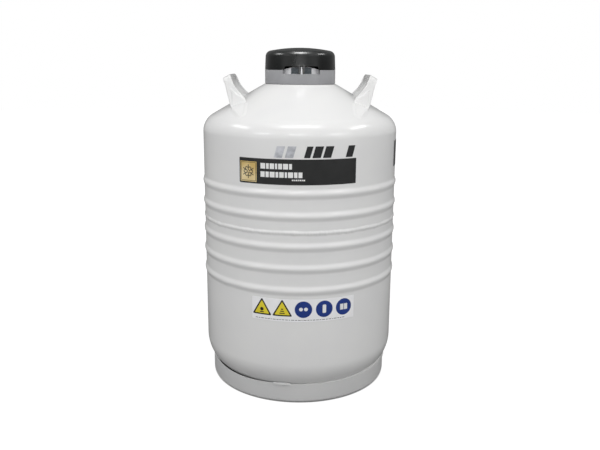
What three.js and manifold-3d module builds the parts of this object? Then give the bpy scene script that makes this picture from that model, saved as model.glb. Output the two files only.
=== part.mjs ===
// A twenty-litre aluminium dewar for carrying and keeping liquid nitrogen: a double-walled vessel with a
// narrow neck, two lifting handles, a lift-off locking lid with a foam neck plug, and six canisters.
// Millimetres, +Z up. The origin is the centre of the foot ring on the floor, and -Y is the lock side.
import * as THREE from "three";
import { mergeVertices } from "three/addons/utils/BufferGeometryUtils.js";
import Module from "manifold-3d";

const wasm = await Module();
wasm.setup();

// ---- Driving dimensions ----
const GAP = 0.3; // between pieces that touch
const SHELL_SIDES = 40;
const VESSEL_SIDES = 24;
const NECK_SIDES = 32;

const BARREL_R = 194.5;
const OUTER_WALL = 3;
const RIB_HEIGHT = 2.5;
const RIB_HALF_WIDTH = 10;
const UPPER_RIBS = [371.5, 412.3]; // heights of the pressed ribs above the girth weld
const LOWER_RIBS = [231, 273, 314.3];
const GIRTH_Z = 341.5;

const CONE_TOP_R = 70.4; // the shoulder's small end, under the collar
const CONE_TOP_Z = 602.4;
const CONE_DROP = 0.567; // fall of the shoulder for each millimetre of radius
const CONE_ANGLE = Math.atan(CONE_DROP);
const KNUCKLE_R = 39; // where the barrel turns into the shoulder

const BOTTOM_R = 70; // corner radius of the bottom head
const BOTTOM_CORNER_Z = 84;
const BOTTOM_DISH = [
  [142, 16],
  [112, 15.5],
  [70, 26],
]; // the head's underside, which dishes up to the evacuation port
const BOTTOM_MIDDLE_Z = 30;

const FOOT_R = 182.5;
const FOOT_WALL = 2.5;
const FOOT_HEIGHT = 39;
const FOOT_CURL = 6; // radius of the bottom edge, which is rolled inwards
const FOOT_WELDS = [-10, 80, 170, 260]; // degrees round from the front
const FOOT_WELD_HALF_ANGLE = 5.75;

const PORT_R = 10;
const PORT_BORE_R = 6.5;

const NECK_BORE_R = 25;
const NECK_WALL = 1.5;
const NECK_Z = [388, 604];
const NECK_PLATE_Z = [592, 600];
const SHELL_MOUTH_R = 68;

const INNER_R = 152;
const INNER_WALL = 2;
const INNER_Z = [75, 398];
const INNER_HEAD_DEPTH = 50;
const INNER_SEAM_Z = 236;
const WRAP = 12; // thickness of the insulation wound on the inner vessel
const WRAP_GAP = 1.5;
const SIEVE_R = [40, 90];
const SIEVE_THICKNESS = 9;
const SUPPORT_R = 20;
const SUPPORT_CUP_HEIGHT = 15;

const COLLAR_R = 70;
const COLLAR_BASE_Z = 602.7;
const COLLAR_DECK_Z = 629.2;
const COLLAR_FLOOR_Z = 606.5;
const COLLAR_BORE_R = 44.5;
const SPIGOT_R = 60; // the upstand inside the deck that centres the lid
const SPIGOT_WALL = 3;
const SPIGOT_TOP_Z = 630.5;
const SCREW_RING_R = 50.5;
const SCREW_ANGLES = [45, 135, 225, 315];
const SCREW_Z = 596; // the screws' points
const SCREW_R = 2;
const SCREW_HEAD_R = 4;

const LOCK_TURN = 2.2; // degrees that the collar and lid are turned from the front
const LOCK_HALF_WIDTH = 35.5; // of the recess in the collar that the padlock ears stand in
const LOCK_FLOOR_Z = 621.3;
const LOCK_CUT_HALF_WIDTH = [33.7, 31.2]; // of the cut-out in the cap's skirt, at its foot and its top
const LOCK_CUT_Z = 636.2;
const ARCH_HALF_WIDTH = 33;
const ARCH_END_Z = SPIGOT_TOP_Z;
const ARCH_TOP_Z = 635.2;
const FIN_Y = [-69, -58];
const FIN_HALF_WIDTH = [1.95, 0.6]; // at its foot and its top
const FIN_TOP_Z = 635;
const EAR_X = [2.7, 5.5];
const EAR_Y = [-69.6, -60.5];
const PADLOCK_HOLE_R = 3.3;
const PADLOCK_HOLE = [-65, 629]; // y and z of the hole through the fin and both ears

const CAP_WALL = 6;
const CAP_EDGE_R = 6.5;
const CAP_EDGE_Z = 657.5;
const CAP_TAPER = 1.1; // how much smaller the skirt's radius is at its top
const CAP_CEILING_Z = 660;
const CAP_TOP_Z = 672;
const PAD_R = 54;
const PAD_Z = [644.7, CAP_CEILING_Z - GAP];
const FLANGE_R = 27;
const FLANGE_Z = [640.3, PAD_Z[0] - GAP];
const PLUG_R = 20.5;
const PLUG_Z = [420, FLANGE_Z[0] - GAP];
const STUD_R = 3;
const STUD_Z = [560, 666];

const CANISTERS = 6;
const CANISTER_RING_R = 62;
const CANISTER_R = 19;
const CANISTER_WALL = 1;
const CANISTER_Z = [101, 221];
const SPIDER_R = 90;
const SPIDER_Z = [95, 106];
const SPIDER_FOOT_Z = 88.2;
const ROD_R = 1.25;
const ROD_START_Z = 150;
const ROD_SHOULDER_Z = 235; // where a rod leaves its canister and leans towards the neck
const ROD_NECK_R = 23.3; // how far from the axis the rods stand in the neck
const ROD_BEND_Z = 372; // low enough that the lean stays under the neck tube when a rod is lifted
const ROD_HOOK_R = 43.3;
const ROD_HOOK_BEND = 4;
const SLOT_FLOOR_Z = 610;
const SLOT_WIDTH = 3.4;
const INDEX_RING_R = [27.3, 43.8];
const INDEX_TOP_Z = 614;

const HANDLE_STRAP = 3; // thickness of the handle's web and lips
const HANDLE_LIP = 7; // how far the lips stand in from the web
const STRAP_ACROSS = [0.87, 0, -0.494]; // across the legs and the grip, down the slope
const FOOT_TIP = { x: 107, y: 132, width: 11 };
const FOOT_HEEL = { x: 121, y: 70.5, width: 32 };
const GRIP_END = { x: 142.3, y: 62, z: 617.2, width: 16 };
const FOOT_LIP = 0.8;

const LABEL_THICKNESS = 0.5;
const LABELS = {
  front_label: { angles: [-34, 31.6], z: [430, 476] },
  safety_label: { angles: [-26.7, 32.3], z: [172, 215.5] },
  side_label: { angles: [71, 137], z: [446, 496] },
};

// ---- Helpers ----
const deg = THREE.MathUtils.degToRad;

// Points of an arc in a profile, from one angle to the other, in degrees above the outward direction.
function arc(centreR, centreZ, radius, from, to, steps) {
  const points = [];
  for (let i = 0; i <= steps; i++) {
    const a = deg(from + ((to - from) * i) / steps);
    points.push([centreR + radius * Math.cos(a), centreZ + radius * Math.sin(a)]);
  }
  return points;
}

// A solid of revolution about Z. A profile that leaves the axis is closed on itself.
function turned(profile, sides) {
  const area = profile.reduce((sum, [r, z], i) => {
    const [r2, z2] = profile[(i + 1) % profile.length];
    return sum + r * z2 - r2 * z;
  }, 0);
  const points = area > 0 ? [...profile] : [...profile].reverse();
  const onAxis = points.filter(([r]) => r === 0).length === 2;
  if (onAxis) while (points[0][0] !== 0 || points.at(-1)[0] !== 0) points.push(points.shift());
  else points.push(points[0]);
  const geometry = new THREE.LatheGeometry(points.map(([r, z]) => new THREE.Vector2(r, z)), sides);
  return geometry.rotateX(Math.PI / 2);
}

// A flat outline in X and Z, thickened along Y between two depths.
function slab(outline, fromY, toY) {
  const shape = new THREE.Shape(outline.map(([x, z]) => new THREE.Vector2(x, z)));
  const settings = { depth: toY - fromY, bevelEnabled: false, curveSegments: 6 };
  const geometry = new THREE.ExtrudeGeometry(shape, settings);
  return geometry.rotateX(Math.PI / 2).translate(0, toY, 0);
}

// A flat outline in X and Y, thickened along Z between two heights.
function plate(outline, fromZ, toZ) {
  const shape = new THREE.Shape(outline.map(([x, y]) => new THREE.Vector2(x, y)));
  const geometry = new THREE.ExtrudeGeometry(shape, { depth: toZ - fromZ, bevelEnabled: false });
  return geometry.translate(0, 0, fromZ);
}

function cylinder(radius, fromZ, toZ, sides, x = 0, y = 0) {
  const geometry = new THREE.CylinderGeometry(radius, radius, toZ - fromZ, sides);
  return geometry.rotateX(Math.PI / 2).translate(x, y, (fromZ + toZ) / 2);
}

function cylinderAlongX(radius, halfLength, y, z, sides) {
  const geometry = new THREE.CylinderGeometry(radius, radius, 2 * halfLength, sides);
  return geometry.rotateZ(Math.PI / 2).translate(0, y, z);
}

function block(x, y, z) {
  const geometry = new THREE.BoxGeometry(x[1] - x[0], y[1] - y[0], z[1] - z[0]);
  return geometry.translate((x[0] + x[1]) / 2, (y[0] + y[1]) / 2, (z[0] + z[1]) / 2);
}

// A geometry as a manifold-3d solid.
function solid(geometry) {
  const bare = geometry.clone();
  bare.deleteAttribute("normal");
  bare.deleteAttribute("uv");
  const merged = mergeVertices(bare, 1e-4);
  return new wasm.Manifold(
    new wasm.Mesh({
      numProp: 3,
      vertProperties: merged.attributes.position.array,
      triVerts: new Uint32Array(merged.index.array),
    }),
  );
}

function cut(base, ...tools) {
  return tools.reduce((rest, tool) => rest.subtract(solid(tool)), base);
}

function joined(...geometries) {
  return geometries.map(solid).reduce((all, next) => all.add(next));
}

function geometryOf(manifold) {
  const mesh = manifold.getMesh();
  const positions = new Float32Array(mesh.numVert * 3);
  for (let i = 0; i < mesh.numVert; i++) {
    positions.set(mesh.vertProperties.subarray(i * mesh.numProp, i * mesh.numProp + 3), i * 3);
  }
  const geometry = new THREE.BufferGeometry();
  geometry.setAttribute("position", new THREE.BufferAttribute(positions, 3));
  geometry.setIndex(new THREE.BufferAttribute(new Uint32Array(mesh.triVerts), 1));
  return geometry;
}

// A closed solid through a row of rings, each a list of the same number of points.
function lofted(rings) {
  const count = rings[0].length;
  const positions = rings.flat().flatMap((p) => [p.x, p.y, p.z]);
  const faces = [];
  for (let i = 0; i + 1 < rings.length; i++) {
    for (let j = 0; j < count; j++) {
      const a = i * count + j;
      const b = i * count + ((j + 1) % count);
      faces.push(a, b, a + count, b, b + count, a + count);
    }
  }
  const flat = rings[0].map((p) => sectionPlane(rings[0], p));
  for (const [p, q, r] of THREE.ShapeUtils.triangulateShape(flat, [])) faces.push(r, q, p);
  const last = (rings.length - 1) * count;
  const flatEnd = rings.at(-1).map((p) => sectionPlane(rings.at(-1), p));
  for (const [p, q, r] of THREE.ShapeUtils.triangulateShape(flatEnd, [])) {
    faces.push(last + p, last + q, last + r);
  }
  const geometry = new THREE.BufferGeometry();
  geometry.setAttribute("position", new THREE.BufferAttribute(new Float32Array(positions), 3));
  geometry.setIndex(faces);
  return geometry;
}

// A ring's point in the ring's own plane, whose axes come from its first side and its last.
function sectionPlane(ring, point) {
  const across = ring[1].clone().sub(ring[0]).normalize();
  const side = ring.at(-1).clone().sub(ring[0]);
  const up = side.sub(across.clone().multiplyScalar(side.dot(across))).normalize();
  const from = point.clone().sub(ring[0]);
  return new THREE.Vector2(from.dot(across), from.dot(up));
}

const coneZ = (r) => CONE_TOP_Z - CONE_DROP * (r - CONE_TOP_R);

// The point at a radius and an angle in degrees, anticlockwise from the front when seen from above.
function round(radius, angle) {
  return [radius * Math.sin(deg(angle)), -radius * Math.cos(deg(angle))];
}

// A piece of a ring, between two angles in degrees and two heights.
function ringPart(innerR, outerR, angles, z) {
  const steps = Math.ceil((angles[1] - angles[0]) / 4.5);
  const around = Array.from({ length: steps + 1 }, (_, i) => THREE.MathUtils.lerp(...angles, i / steps));
  const outer = around.map((angle) => round(outerR, angle));
  const inner = around.map((angle) => round(innerR, angle));
  return plate([...outer, ...inner.reverse()], ...z);
}

// ---- Materials ----
function paint(color, roughness, metalness = 0) {
  return new THREE.MeshStandardMaterial({ color, roughness, metalness });
}

const whitePaint = paint(0xd9dad8, 0.3);
const bareAluminium = paint(0xc4c6c9, 0.35, 1);
const glassFibre = paint(0xb9b27c, 0.55);
const greyPlastic = paint(0x85868a, 0.4);
const blackPlastic = paint(0x1d1f1e, 0.35);
const foam = paint(0xe9e6da, 0.9);
const foil = paint(0xcfd2d4, 0.3, 1);
const steel = paint(0xb5b7b9, 0.3, 1);
const labelBlack = paint(0x232625, 0.4);
const labelWhite = paint(0xe8e8ea, 0.4);

const dewar = new THREE.Group();
const lock = new THREE.Group(); // the collar and the lid, turned a little from the front
lock.rotation.z = deg(LOCK_TURN);
dewar.add(lock);

function add(name, geometry, material, group = dewar) {
  const mesh = new THREE.Mesh(geometry, material);
  mesh.name = name;
  group.add(mesh);
}

// ---- Outer vessel: two half shells welded round the girth ----
function rib(z) {
  const half = RIB_HALF_WIDTH;
  return [
    [BARREL_R, z - half],
    [BARREL_R + RIB_HEIGHT * 0.75, z - half / 2],
    [BARREL_R + RIB_HEIGHT, z],
    [BARREL_R + RIB_HEIGHT * 0.75, z + half / 2],
    [BARREL_R, z + half],
  ];
}

const knuckleEnd = Math.PI / 2 - CONE_ANGLE;
const knuckleTopR = BARREL_R - KNUCKLE_R * (1 - Math.cos(knuckleEnd));
const knuckleZ = coneZ(knuckleTopR) - KNUCKLE_R * Math.sin(knuckleEnd);

function knuckle(inset) {
  return arc(BARREL_R - KNUCKLE_R, knuckleZ, KNUCKLE_R - inset, 0, THREE.MathUtils.radToDeg(knuckleEnd), 5);
}

function upperOuterShell() {
  const lipZ = coneZ(CONE_TOP_R + 1);
  return turned(
    [
      [BARREL_R, GIRTH_Z + GAP],
      ...UPPER_RIBS.flatMap(rib),
      ...knuckle(0),
      [CONE_TOP_R + 1, lipZ],
      [SHELL_MOUTH_R, lipZ],
      [SHELL_MOUTH_R, lipZ - OUTER_WALL],
      ...knuckle(OUTER_WALL).reverse(),
      [BARREL_R - OUTER_WALL, GIRTH_Z + GAP],
    ],
    SHELL_SIDES,
  );
}

// The bottom head's profile from the evacuation port out to the barrel, set in by the wall or not.
function bottomHead(inset) {
  return [
    [PORT_R + GAP, BOTTOM_MIDDLE_Z + inset],
    ...BOTTOM_DISH.map(([r, z]) => [r, z + inset]).reverse(),
    ...arc(BARREL_R - BOTTOM_R, BOTTOM_CORNER_Z, BOTTOM_R - inset, -65, 0, 6),
  ];
}

function lowerOuterShell() {
  return turned(
    [
      ...bottomHead(0),
      ...LOWER_RIBS.flatMap(rib),
      [BARREL_R, GIRTH_Z - GAP],
      [BARREL_R - OUTER_WALL, GIRTH_Z - GAP],
      ...bottomHead(OUTER_WALL).reverse(),
    ],
    SHELL_SIDES,
  );
}

function girthWeld() {
  const inner = BARREL_R + GAP;
  return turned(
    [
      [inner, GIRTH_Z - 3.5],
      [inner + 1.1, GIRTH_Z - 1.8],
      [inner + 1.1, GIRTH_Z + 1.8],
      [inner, GIRTH_Z + 3.5],
    ],
    SHELL_SIDES,
  );
}

add("upper_outer_shell", upperOuterShell(), whitePaint);
add("lower_outer_shell", lowerOuterShell(), whitePaint);
add("girth_weld", girthWeld(), whitePaint);

// ---- Foot ring and the stitch welds that hold it to the bottom head ----
function footRing() {
  const inner = FOOT_R - FOOT_WALL;
  return turned(
    [
      [FOOT_R, FOOT_HEIGHT],
      ...arc(FOOT_R - FOOT_CURL, FOOT_CURL, FOOT_CURL, 0, -90, 3),
      [inner - FOOT_CURL, 0],
      [inner - FOOT_CURL, FOOT_WALL],
      [inner - 2, FOOT_WALL + 1],
      [inner, FOOT_CURL],
      [inner, FOOT_HEIGHT],
    ],
    SHELL_SIDES,
  );
}

add("foot_ring", footRing(), whitePaint);
FOOT_WELDS.forEach((angle, i) => {
  const angles = [angle - FOOT_WELD_HALF_ANGLE, angle + FOOT_WELD_HALF_ANGLE];
  const bead = ringPart(FOOT_R + 2 * GAP, FOOT_R + 2, angles, [FOOT_HEIGHT - 5, FOOT_HEIGHT + 2.5]);
  add(`foot_ring_weld_${i + 1}`, bead, whitePaint);
});

// ---- Lifting handles: a lipped strap bent over the shoulder, with a tapered foot at each end ----
function onShoulder(x, y) {
  const lift = (HANDLE_STRAP + FOOT_LIP + GAP) / Math.cos(CONE_ANGLE);
  return new THREE.Vector3(x, y, coneZ(Math.hypot(x, y)) + lift);
}

function shoulderNormal(p) {
  const out = Math.sin(CONE_ANGLE) / Math.hypot(p.x, p.y);
  return new THREE.Vector3(p.x * out, p.y * out, Math.cos(CONE_ANGLE));
}

// The middle of the strap's outer face from a foot's tip to the middle of the grip.
function halfHandle() {
  const stations = [];
  for (const t of [0, 0.3, 0.6, 0.9]) {
    const x = THREE.MathUtils.lerp(FOOT_TIP.x, FOOT_HEEL.x, t);
    const y = THREE.MathUtils.lerp(FOOT_TIP.y, FOOT_HEEL.y, t);
    const width = THREE.MathUtils.lerp(FOOT_TIP.width, FOOT_HEEL.width, t);
    stations.push({ point: onShoulder(x, -y), width, lip: FOOT_LIP, onFoot: true });
  }
  const heel = onShoulder(FOOT_HEEL.x, -FOOT_HEEL.y);
  const corner = new THREE.Vector3(GRIP_END.x, -GRIP_END.y, GRIP_END.z);
  const middle = new THREE.Vector3(GRIP_END.x, 0, GRIP_END.z);
  const legs = [
    { t: 0.1, lip: FOOT_LIP },
    { t: 0.24, lip: 2 },
    { t: 0.4, lip: HANDLE_LIP },
    { t: 0.6, lip: HANDLE_LIP },
  ];
  for (const { t, lip } of legs) {
    const width = THREE.MathUtils.lerp(FOOT_HEEL.width, GRIP_END.width, t);
    stations.push({ point: heel.clone().lerp(corner, t), width, lip });
  }
  const bendStart = heel.clone().lerp(corner, 0.76);
  const bend = new THREE.QuadraticBezierCurve3(bendStart, corner, corner.clone().lerp(middle, 0.24));
  for (const t of [0, 0.25, 0.5, 0.75, 1]) {
    stations.push({ point: bend.getPoint(t), width: GRIP_END.width + 3 * (1 - t), lip: HANDLE_LIP });
  }
  stations.push({ point: middle, width: GRIP_END.width, lip: HANDLE_LIP });
  return stations;
}

// The strap's section at one station: a flat web with a lip standing in at each edge.
function strapSection(station, along) {
  const face = station.onFoot
    ? shoulderNormal(station.point)
    : new THREE.Vector3().crossVectors(new THREE.Vector3(...STRAP_ACROSS), along);
  const across = new THREE.Vector3().crossVectors(along, face).normalize();
  const normal = new THREE.Vector3().crossVectors(across, along).normalize();
  const half = station.width / 2;
  const deep = HANDLE_STRAP + station.lip;
  const outline = [
    [-half, 0],
    [half, 0],
    [half, -deep],
    [half - HANDLE_STRAP, -deep],
    [half - HANDLE_STRAP, -HANDLE_STRAP],
    [HANDLE_STRAP - half, -HANDLE_STRAP],
    [HANDLE_STRAP - half, -deep],
    [-half, -deep],
  ];
  const placed = ([u, v]) => station.point.clone().addScaledVector(across, u).addScaledVector(normal, v);
  return outline.map(placed);
}

function handle() {
  const half = halfHandle();
  const otherHalf = half.slice(0, -1).reverse();
  const mirrored = otherHalf.map((s) => ({ ...s, point: s.point.clone().setY(-s.point.y) }));
  const stations = [...half, ...mirrored];
  const sections = stations.map((station, i) => {
    const before = stations[Math.max(i - 1, 0)].point;
    const after = stations[Math.min(i + 1, stations.length - 1)].point;
    return strapSection(station, after.clone().sub(before).normalize());
  });
  return lofted(sections);
}

add("right_handle", handle(), whitePaint);
add("left_handle", handle().rotateZ(Math.PI), whitePaint);

// ---- Neck: the tube that the inner vessel hangs from, and the plate that closes the shell's mouth ----
const neckR = NECK_BORE_R + NECK_WALL;

function screwPlaces() {
  return SCREW_ANGLES.map((angle) => round(SCREW_RING_R, angle));
}

function neckPlate() {
  const ring = turned(
    [
      [neckR + GAP, NECK_PLATE_Z[0]],
      [SHELL_MOUTH_R - GAP, NECK_PLATE_Z[0]],
      [SHELL_MOUTH_R - GAP, NECK_PLATE_Z[1]],
      [neckR + GAP, NECK_PLATE_Z[1]],
    ],
    SHELL_SIDES,
  );
  const hole = ([x, y]) => cylinder(SCREW_R + GAP, SCREW_Z - 1, NECK_PLATE_Z[1] + 1, 8, x, y);
  const holes = screwPlaces().map(hole);
  return geometryOf(cut(solid(ring), ...holes));
}

function neckTube() {
  return turned(
    [
      [NECK_BORE_R, NECK_Z[0]],
      [neckR, NECK_Z[0]],
      [neckR, NECK_Z[1]],
      [NECK_BORE_R, NECK_Z[1]],
    ],
    NECK_SIDES,
  );
}

const canisterAngles = Array.from({ length: CANISTERS }, (_, i) => ((i + 0.5) * 360) / CANISTERS);

function indexRing() {
  const ring = turned(
    [
      [INDEX_RING_R[0], NECK_PLATE_Z[1] + GAP],
      [INDEX_RING_R[1], NECK_PLATE_Z[1] + GAP],
      [INDEX_RING_R[1], INDEX_TOP_Z],
      [INDEX_RING_R[0], INDEX_TOP_Z],
    ],
    NECK_SIDES,
  );
  const slots = canisterAngles.map((angle) => {
    const across = [-SLOT_WIDTH / 2, SLOT_WIDTH / 2];
    const slot = block(across, [-COLLAR_BORE_R, -NECK_BORE_R], [SLOT_FLOOR_Z, COLLAR_DECK_Z]);
    return slot.rotateZ(deg(angle));
  });
  return geometryOf(cut(solid(ring), ...slots));
}

add("neck_plate", neckPlate(), whitePaint, lock);
add("neck_tube", neckTube(), glassFibre);
add("index_ring", indexRing(), bareAluminium);

// ---- Collar: screwed to the neck plate, with the padlock fin standing in a recess at the front ----
function archPlate() {
  const steps = 8;
  const top = Array.from({ length: steps + 1 }, (_, i) => {
    const x = ARCH_HALF_WIDTH * (1 - (2 * i) / steps);
    return [x, ARCH_TOP_Z - (ARCH_TOP_Z - ARCH_END_Z) * (x / ARCH_HALF_WIDTH) ** 2];
  });
  const foot = COLLAR_FLOOR_Z + 1;
  const outline = [[-ARCH_HALF_WIDTH, foot], [ARCH_HALF_WIDTH, foot], ...top];
  const ring = turned(
    [
      [SPIGOT_R - SPIGOT_WALL, foot],
      [SPIGOT_R, foot],
      [SPIGOT_R, ARCH_TOP_Z + 1],
      [SPIGOT_R - SPIGOT_WALL, ARCH_TOP_Z + 1],
    ],
    SHELL_SIDES,
  );
  return solid(ring).intersect(solid(slab(outline, -COLLAR_R, 0)));
}

function lockRecess() {
  const ring = turned(
    [
      [SPIGOT_R, LOCK_FLOOR_Z],
      [COLLAR_R + 2, LOCK_FLOOR_Z],
      [COLLAR_R + 2, COLLAR_DECK_Z + 1],
      [SPIGOT_R, COLLAR_DECK_Z + 1],
    ],
    SHELL_SIDES,
  );
  const width = block([-LOCK_HALF_WIDTH, LOCK_HALF_WIDTH], [-2 * COLLAR_R, 0], [COLLAR_FLOOR_Z, CAP_TOP_Z]);
  return solid(ring).intersect(solid(width));
}

function fin() {
  const [foot, top] = FIN_HALF_WIDTH;
  return slab(
    [
      [-foot, LOCK_FLOOR_Z - 1],
      [foot, LOCK_FLOOR_Z - 1],
      [top, FIN_TOP_Z],
      [-top, FIN_TOP_Z],
    ],
    ...FIN_Y,
  );
}

function padlockHole() {
  return cylinderAlongX(PADLOCK_HOLE_R, COLLAR_R / 2, ...PADLOCK_HOLE, 16);
}

function neckCollar() {
  const well = SPIGOT_R - SPIGOT_WALL;
  const ring = turned(
    [
      [COLLAR_R, COLLAR_BASE_Z],
      [COLLAR_R, COLLAR_DECK_Z],
      [SPIGOT_R, COLLAR_DECK_Z],
      [SPIGOT_R, SPIGOT_TOP_Z],
      [well, SPIGOT_TOP_Z],
      [well, COLLAR_FLOOR_Z],
      [COLLAR_BORE_R, COLLAR_FLOOR_Z],
      [COLLAR_BORE_R, COLLAR_BASE_Z],
    ],
    SHELL_SIDES,
  );
  const holes = screwPlaces().map(([x, y]) =>
    cylinder(SCREW_R + GAP, COLLAR_BASE_Z - 1, COLLAR_FLOOR_Z + 1, 8, x, y),
  );
  const body = cut(solid(ring).subtract(lockRecess()).add(archPlate()), ...holes);
  return geometryOf(cut(body.add(solid(fin())), padlockHole()));
}

function collarScrew([x, y]) {
  const headZ = COLLAR_FLOOR_Z + GAP;
  const head = cylinder(SCREW_HEAD_R, headZ, headZ + 3, 16, x, y);
  const shank = cylinder(SCREW_R, SCREW_Z, headZ + 1, 8, x, y);
  return geometryOf(joined(head, shank));
}

add("neck_collar", neckCollar(), greyPlastic, lock);
screwPlaces().forEach((place, i) => add(`collar_screw_${i + 1}`, collarScrew(place), steel, lock));

// ---- Inner vessel: two drawn halves with domed heads, and what stands in the vacuum round it ----
// A domed head's profile between two angles from the axis in degrees;
// way is 1 for a bottom head, -1 for a top one.
function head(radius, depth, poleZ, way, from, to, steps = 4) {
  return Array.from({ length: steps + 1 }, (_, i) => {
    const a = deg(THREE.MathUtils.lerp(from, to, i / steps));
    return [radius * Math.sin(a), poleZ + way * depth * (1 - Math.cos(a))];
  });
}

const angleAt = (r, radius) => THREE.MathUtils.radToDeg(Math.asin(r / radius));

function innerVesselLower() {
  const inside = INNER_R - INNER_WALL;
  return turned(
    [
      ...head(INNER_R, INNER_HEAD_DEPTH, INNER_Z[0], 1, 0, 90),
      [INNER_R, INNER_SEAM_Z - GAP],
      [inside, INNER_SEAM_Z - GAP],
      ...head(inside, INNER_HEAD_DEPTH - INNER_WALL, INNER_Z[0] + INNER_WALL, 1, 90, 0),
    ],
    VESSEL_SIDES,
  );
}

function innerVesselUpper() {
  const inside = INNER_R - INNER_WALL;
  const hole = neckR + 2 * GAP;
  const insideDepth = INNER_HEAD_DEPTH - INNER_WALL;
  const insideTop = INNER_Z[1] - INNER_WALL;
  return turned(
    [
      [INNER_R, INNER_SEAM_Z + GAP],
      ...head(INNER_R, INNER_HEAD_DEPTH, INNER_Z[1], -1, 90, angleAt(hole, INNER_R)),
      ...head(inside, insideDepth, insideTop, -1, angleAt(hole, inside), 90),
      [inside, INNER_SEAM_Z + GAP],
    ],
    VESSEL_SIDES,
  );
}

const blanketInner = INNER_R + WRAP_GAP;
const blanketOuter = blanketInner + WRAP;

function insulationBlanket() {
  const innerDepth = INNER_HEAD_DEPTH + WRAP_GAP;
  const outerDepth = innerDepth + WRAP;
  const neckHole = neckR + 3.5;
  const postHole = SUPPORT_R + 2;
  const pocketR = SIEVE_R[1] + 2;
  const pocketZ = INNER_Z[0] - 3;
  const bottomZ = INNER_Z[0] - WRAP - WRAP_GAP;
  const topZ = INNER_Z[1] + WRAP + WRAP_GAP;
  return turned(
    [
      [postHole, pocketZ - SIEVE_THICKNESS - WRAP - 1],
      [pocketR, pocketZ - WRAP],
      ...head(blanketOuter, outerDepth, bottomZ, 1, angleAt(pocketR + 28, blanketOuter), 90),
      ...head(blanketOuter, outerDepth, topZ, -1, 90, angleAt(neckHole, blanketOuter)),
      ...head(blanketInner, innerDepth, INNER_Z[1] + WRAP_GAP, -1, angleAt(neckHole, blanketInner), 90),
      ...head(blanketInner, innerDepth, INNER_Z[0] - WRAP_GAP, 1, 90, angleAt(pocketR, blanketInner)),
      [pocketR, pocketZ],
      [postHole, pocketZ - SIEVE_THICKNESS - 1],
    ],
    VESSEL_SIDES,
  );
}

function sievePack() {
  const ends = SIEVE_R.map((r) => angleAt(r, INNER_R));
  const top = head(INNER_R, INNER_HEAD_DEPTH, INNER_Z[0] - WRAP_GAP, 1, ...ends, 2);
  const underside = top.map(([r, z]) => [r, z - SIEVE_THICKNESS]).reverse();
  return turned([...top, ...underside], VESSEL_SIDES);
}

add("inner_vessel_lower", innerVesselLower(), bareAluminium);
add("inner_vessel_upper", innerVesselUpper(), bareAluminium);
add("insulation_blanket", insulationBlanket(), foil);
add("molecular_sieve_pack", sievePack(), foil);

// ---- Bottom support and evacuation port ----
const headInsideZ = BOTTOM_MIDDLE_Z + OUTER_WALL;

function supportCup() {
  const cupZ = headInsideZ + GAP;
  return turned(
    [
      [SUPPORT_R + 2 * GAP, cupZ],
      [SUPPORT_R + 6, cupZ],
      [SUPPORT_R + 6, cupZ + SUPPORT_CUP_HEIGHT],
      [SUPPORT_R + 2 * GAP, cupZ + SUPPORT_CUP_HEIGHT],
    ],
    VESSEL_SIDES,
  );
}

function evacuationPort() {
  return turned(
    [
      [PORT_BORE_R, BOTTOM_MIDDLE_Z - 8],
      [PORT_R, BOTTOM_MIDDLE_Z - 8],
      [PORT_R, headInsideZ + 3],
      [PORT_BORE_R, headInsideZ + 3],
    ],
    16,
  );
}

function evacuationPortCap() {
  const inside = PORT_R + 0.5;
  const [capZ, portZ] = [BOTTOM_MIDDLE_Z - 12, BOTTOM_MIDDLE_Z - 8];
  return turned(
    [
      [0, capZ],
      [inside + 2, capZ],
      [inside + 2, portZ + 5],
      [inside, portZ + 5],
      [inside, portZ - 1],
      [0, portZ - 1],
    ],
    16,
  );
}

add("support_post", cylinder(SUPPORT_R, headInsideZ + 12, INNER_Z[0] - GAP, VESSEL_SIDES), glassFibre);
add("support_cup", supportCup(), glassFibre);
add("evacuation_port", evacuationPort(), bareAluminium);
add("evacuation_plug", cylinder(PORT_BORE_R - GAP, BOTTOM_MIDDLE_Z - 6, headInsideZ + 2, 12), steel);
add("evacuation_port_cap", evacuationPortCap(), blackPlastic);

// ---- Lid: the cap with its padlock ears, and the foam plug that hangs in the neck ----
function capBody() {
  const edgeR = COLLAR_R - CAP_TAPER - CAP_EDGE_R;
  const edge = arc(edgeR, CAP_EDGE_Z, CAP_EDGE_R, 0, 75, 5);
  const [domeR, domeZ] = edge.at(-1);
  const dome = [0.75, 0.5, 0.25, 0].map((t) => [domeR * t, CAP_TOP_Z - (CAP_TOP_Z - domeZ) * t ** 2]);
  const inside = COLLAR_R - CAP_WALL;
  const skirtZ = COLLAR_DECK_Z + GAP;
  return turned(
    [
      [0, CAP_CEILING_Z],
      [inside - 4, CAP_CEILING_Z],
      [inside, CAP_CEILING_Z - 4],
      [inside, skirtZ],
      [COLLAR_R, skirtZ],
      ...edge,
      ...dome,
    ],
    SHELL_SIDES,
  );
}

function capCutOut() {
  const [foot, top] = LOCK_CUT_HALF_WIDTH;
  return slab(
    [
      [-foot, LOCK_FLOOR_Z],
      [foot, LOCK_FLOOR_Z],
      [foot, COLLAR_DECK_Z],
      [top, LOCK_CUT_Z],
      [-top, LOCK_CUT_Z],
      [-foot, COLLAR_DECK_Z],
    ],
    -2 * COLLAR_R,
    0,
  );
}

function lidCap() {
  const ear = [LOCK_FLOOR_Z + GAP, LOCK_CUT_Z + 4];
  const ears = joined(block(EAR_X, EAR_Y, ear), block([-EAR_X[1], -EAR_X[0]], EAR_Y, ear));
  const shell = cut(solid(capBody()), capCutOut());
  const studHole = cylinder(STUD_R + GAP, CAP_CEILING_Z - 1, STUD_Z[1] + GAP, 12);
  return geometryOf(cut(shell.add(ears), padlockHole(), studHole));
}

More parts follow.
